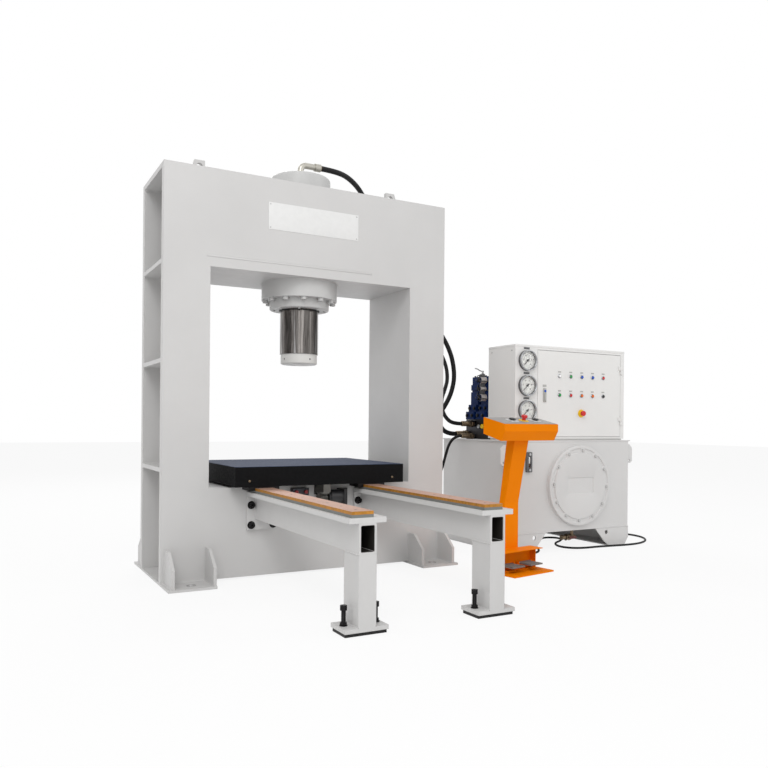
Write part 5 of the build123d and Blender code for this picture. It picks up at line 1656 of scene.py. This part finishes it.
@dataclass
class Pedestal:
    """The operator's pedestal: its console panel, button trim, treads and seams."""

    corner: Point = (1022.0, -1022.0, 0.0)
    turn_deg: float = 9.8
    panel_middle: Pair = (120.0, 971.0)
    slope_deg: float = 13.134
    console_u: Pair = (-70.0, 442.0)
    palms: Pair = (95.0, 316.0)
    stop_u: float = 205.0
    pedals: Pair = (35.0, 205.0)
    post: tuple[float, float, float, float] = (120.0, 252.0, 200.0, 245.0)
    base_top: float = 11.0
    roof: float = 142.0
    bush: Point = (186.0, 262.0, 30.0)
    palm_cap: Profile = (
        (0, -4), (11.6, -4), (11.6, 9.6), (20, 9.3), (23, 9.6), (24, 11), (23.4, 14.4), (20.5, 17),
        (14, 18.6), (6, 19.4), (0, 19.6),
    )

    def place(self) -> Matrix:
        """Takes the pedestal's own directions to the row frame."""
        return turn_at(self.corner, math.radians(self.turn_deg), "Z")

    def on_panel(self, u: float) -> Matrix:
        """Takes a button's own axes to its place on the sloping panel."""
        return self.place() @ turn_at((u, *self.panel_middle), math.radians(self.slope_deg), "X")

    def build(self) -> None:
        """Builds everything on the pedestal."""
        self.panel()
        self.palm_pieces()
        self.treads()
        self.foot()

    def panel(self) -> None:
        """The grey panel with its corner screws, the white button plates and the stop's yellow disc."""
        (u0, u1), place = self.console_u, self.on_panel(0)
        form = Form(place).box((u0 + 5, -87, 0.1), (u1 - 5, 88, 1.4), 0.4)
        form.piece("console_panel", CONSOLE_GREY, "stand_orange")
        spots = [(u, v, 1.4) for u in (u0 + 18, u1 - 18) for v in (-74, 75)]
        form = Form(place).turned([(4.6, 0), (4, 1.5), (2.2, 2.3), (0, 2.5)], *spots, steps=16)
        form.piece("panel_screws", BRIGHT_STEEL, "bezel_chrome")
        form, half, hole, low, high = Form(), 31, 12.8, 0.3, 5
        bands = ((-half, -hole), (hole, half))
        for u in self.palms:
            form.place = self.on_panel(u)
            for near, far in bands:
                form.box((-half, near, low), (half, far, high), 0.6)
            for near, far in bands:
                form.box((near, -hole, low), (far, hole, high))
        form.piece("palm_plates", WHITE_PLASTIC, "bezel_chrome")
        form = Form(self.on_panel(self.stop_u)).turned(ring(12.6, 33, 5.2, 1.2), (0, 0, 0.2), steps=56)
        form.piece("console_stop_disc", YELLOW_PLASTIC, "bezel_chrome")

    def palm_pieces(self) -> None:
        """The collar and the low black cap of each palm button."""
        for side, u in zip(Side, self.palms):
            low = side.name.lower()
            form = Form(self.on_panel(u)).turned(ring(12.5, 17, 0.9, 0.3), (0, 0, 4.3), steps=36)
            form.piece(f"palm_collar_{low}", BEZEL_CHROME, "bezel_chrome")
            form = Form(self.on_panel(u)).turned(self.palm_cap, (0, 0, 0))
            cap = form.piece(f"palm_cap_{low}", BLACK_PLASTIC, "button_black", 50, f"palm_{low[0]}")
            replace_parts(cap, f"palm_{low}")

    def treads(self) -> None:
        """A rubber rim and cross ribs on each treadle."""
        for side, u in zip(Side, self.pedals):
            form, low, u0, u1 = Form(self.place()), side.name.lower(), u + 7.5, u + 122.5
            for v in range(60, 132, 7):
                form.box((u0 + 5, v, 51), (u1 - 5, v + 3.4, 54.4), 0.8)
            form.box((u0, 54, 44), (u1, 58, 54), 1.2)
            form.piece(f"tread_{low}", PEDAL_RUBBER, "pedal_black", body=f"pedal_{low[0]}")

    def foot(self) -> None:
        """Seams round the post's foot and at the guard's roof, and the cable's tapered bush."""
        form, roof, (u0, u1, v0, v1) = Form(self.place()), self.roof, self.post
        corners = [(u, v, self.base_top) for u, v in ((u0, v0), (u1, v0), (u1, v1), (u0, v1), (u0, v0))]
        for start, end in zip(corners, corners[1:]):
            form.bead(start, end, 3.4)
        form.bead((u0, v0 - 1, roof), (u1, v0 - 1, roof), 3.0)
        form.piece("stand_welds", STAND_ORANGE, "stand_orange", 80)
        bush = [(8.3, 0), (13.5, 0), (13.5, 6), (12, 20), (9.4, 46), (8.3, 46), (8.3, 0)]
        form = Form(self.place()).turned(bush, self.bush, axis="+Y", steps=32)
        form.piece("stand_bush", PAD_RUBBER, "cable_rubber", 40)


@dataclass
class CylinderDress:
    """The cylinder's wiper, bolts and screws, painted shade in the ram's spanner holes and the flange's
    weld.
    """

    flange_low: float = 1755.0
    flange_top: float = 1865.0
    flange_r: float = 252.0
    gland_low: float = 1693.0
    gland_circle: float = 168.0
    gland_screws: int = 8
    ram_r: float = 127.0
    flange_bolts: int = 12
    flange_circle: float = 225.0
    head_holes: int = 4
    hole_spot: Point = (117.0, 0.0, 1365.0)
    hole_turn_deg: float = 15.0

    def build(self) -> None:
        """Builds the cylinder's small pieces."""
        r = self.ram_r
        wiper = [(r + 0.6, 0), (r + 9, 0), (r + 7, 6), (r + 0.6, 8), (r + 0.6, 0)]
        form = Form().turned(wiper, (0, 0, self.gland_low - 1), axis="-Z", steps=96)
        form.piece("ram_wiper", PAD_RUBBER, "cylinder_paint", 30)
        self.bolt_set()
        # Dark discs at the bottom of the ram head's spanner holes: painted shade in the holes.
        form = Form()
        for i in range(self.head_holes):
            angle = math.radians(self.hole_turn_deg + 360 * i / self.head_holes)
            form.place = turn_at((0, 0, 0), angle, "Z")
            form.turned(drum(5.9, 1.5), self.hole_spot, axis="+X", steps=24)
        form.piece("spanner_hole_floors", HOLLOW_SHADE, "head_steel", 30, "ram_body")
        spots = [(x, y, self.gland_low) for x, y in circle(self.gland_circle, self.gland_screws, 0.5)]
        screw = [(0, 3), (4, 3), (4, 8), (8, 8), (8, 0), (0, 0)]
        form = Form().turned(screw, *spots, axis="-Z", steps=20)
        form.piece("gland_screws", CYLINDER_PAINT, "cylinder_paint", 30)
        edge = [(x, y, self.flange_top) for x, y in circle(self.flange_r, 240)]
        form = Form().tube([*edge, edge[0]], ripple(4, 241, 0.1), 8)
        form.piece("flange_weld", CYLINDER_PAINT, "cylinder_paint", 80)

    def bolt_set(self) -> None:
        """The flange's socket screws and the tank cover's bolts, which are one painted node."""
        head = [(0, 8), (9, 8), (9, 20), (16.6, 20), (18, 18.6), (18, 0), (12, 0), (12, -8), (0, -8)]
        spots = [(x, y, self.flange_low) for x, y in circle(self.flange_circle, self.flange_bolts, 0.5)]
        form = Form().turned(head, *spots, axis="-Z", steps=32)
        TankDress().cover_bolts(form)
        bolts = form.piece("painted_bolt_set", CYLINDER_PAINT, "cylinder_paint", 30)
        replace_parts(bolts, "painted_bolts")


@dataclass
class TableDress:
    """The table's oil nipples."""

    nipples: Pair = (-480.0, 480.0)
    half_d: float = 430.0
    level: float = 600.0

    def build(self) -> None:
        """Builds the two nipples in the table's front edge."""
        nipple = [(0, 0), (7, 0), (7, 4), (3.5, 6), (3.5, 9), (4.5, 11), (0, 13)]
        spots = [(x, -self.half_d, self.level) for x in self.nipples]
        form = Form().turned(nipple, *spots, axis="-Y", steps=16)
        form.piece("table_nipples", BRASS, "fitting_brass", 30, "table")


RUNS = (MAIN_HOSE, RETURN_HOSE, TABLE_HOSE, CONTROL_CABLE)
GAUGES = (DialGauge("upper", 1417.0), DialGauge("middle", 1234.0), DialGauge("lower", 1050.0))
HOSE_ENDS = (
    HoseEnd("main_hose_upper", (142, 0, 2671), "-X", 18, 40),
    HoseEnd("main_hose_lower", (1481, 300, 868), "+X", 18),
    HoseEnd("return_hose_lower", (1481, 225, 950), "+X", 15),
    HoseEnd("table_hose_upper", (1481, 225, 853), "+X", 11),
    HoseEnd("return_hose_upper", (600, 345, 2010), "-Y", 15, 48),
    HoseEnd("table_hose_lower", (480, 345, 250), "-Y", 11, 48),
)


def main() -> None:
    """Builds everything in order."""
    logging.basicConfig(level=logging.INFO, format="%(name)s: %(message)s")
    for finish, nodes in NODE_FINISHES.items():
        coat_nodes(finish, nodes)
    for part in (
        *RUNS, FrameDress(), RailDress(), CylinderDress(), TableDress(), DriveDress(), *GAUGES,
        DoorDress(), CabinetDress(), TankDress(), ValveDress(), PumpDress(), Pedestal(), *HOSE_ENDS,
        Studio(),
    ):
        part.build()
        LOG.info("built %s", type(part).__name__)


if __name__ == "__main__":
    main()
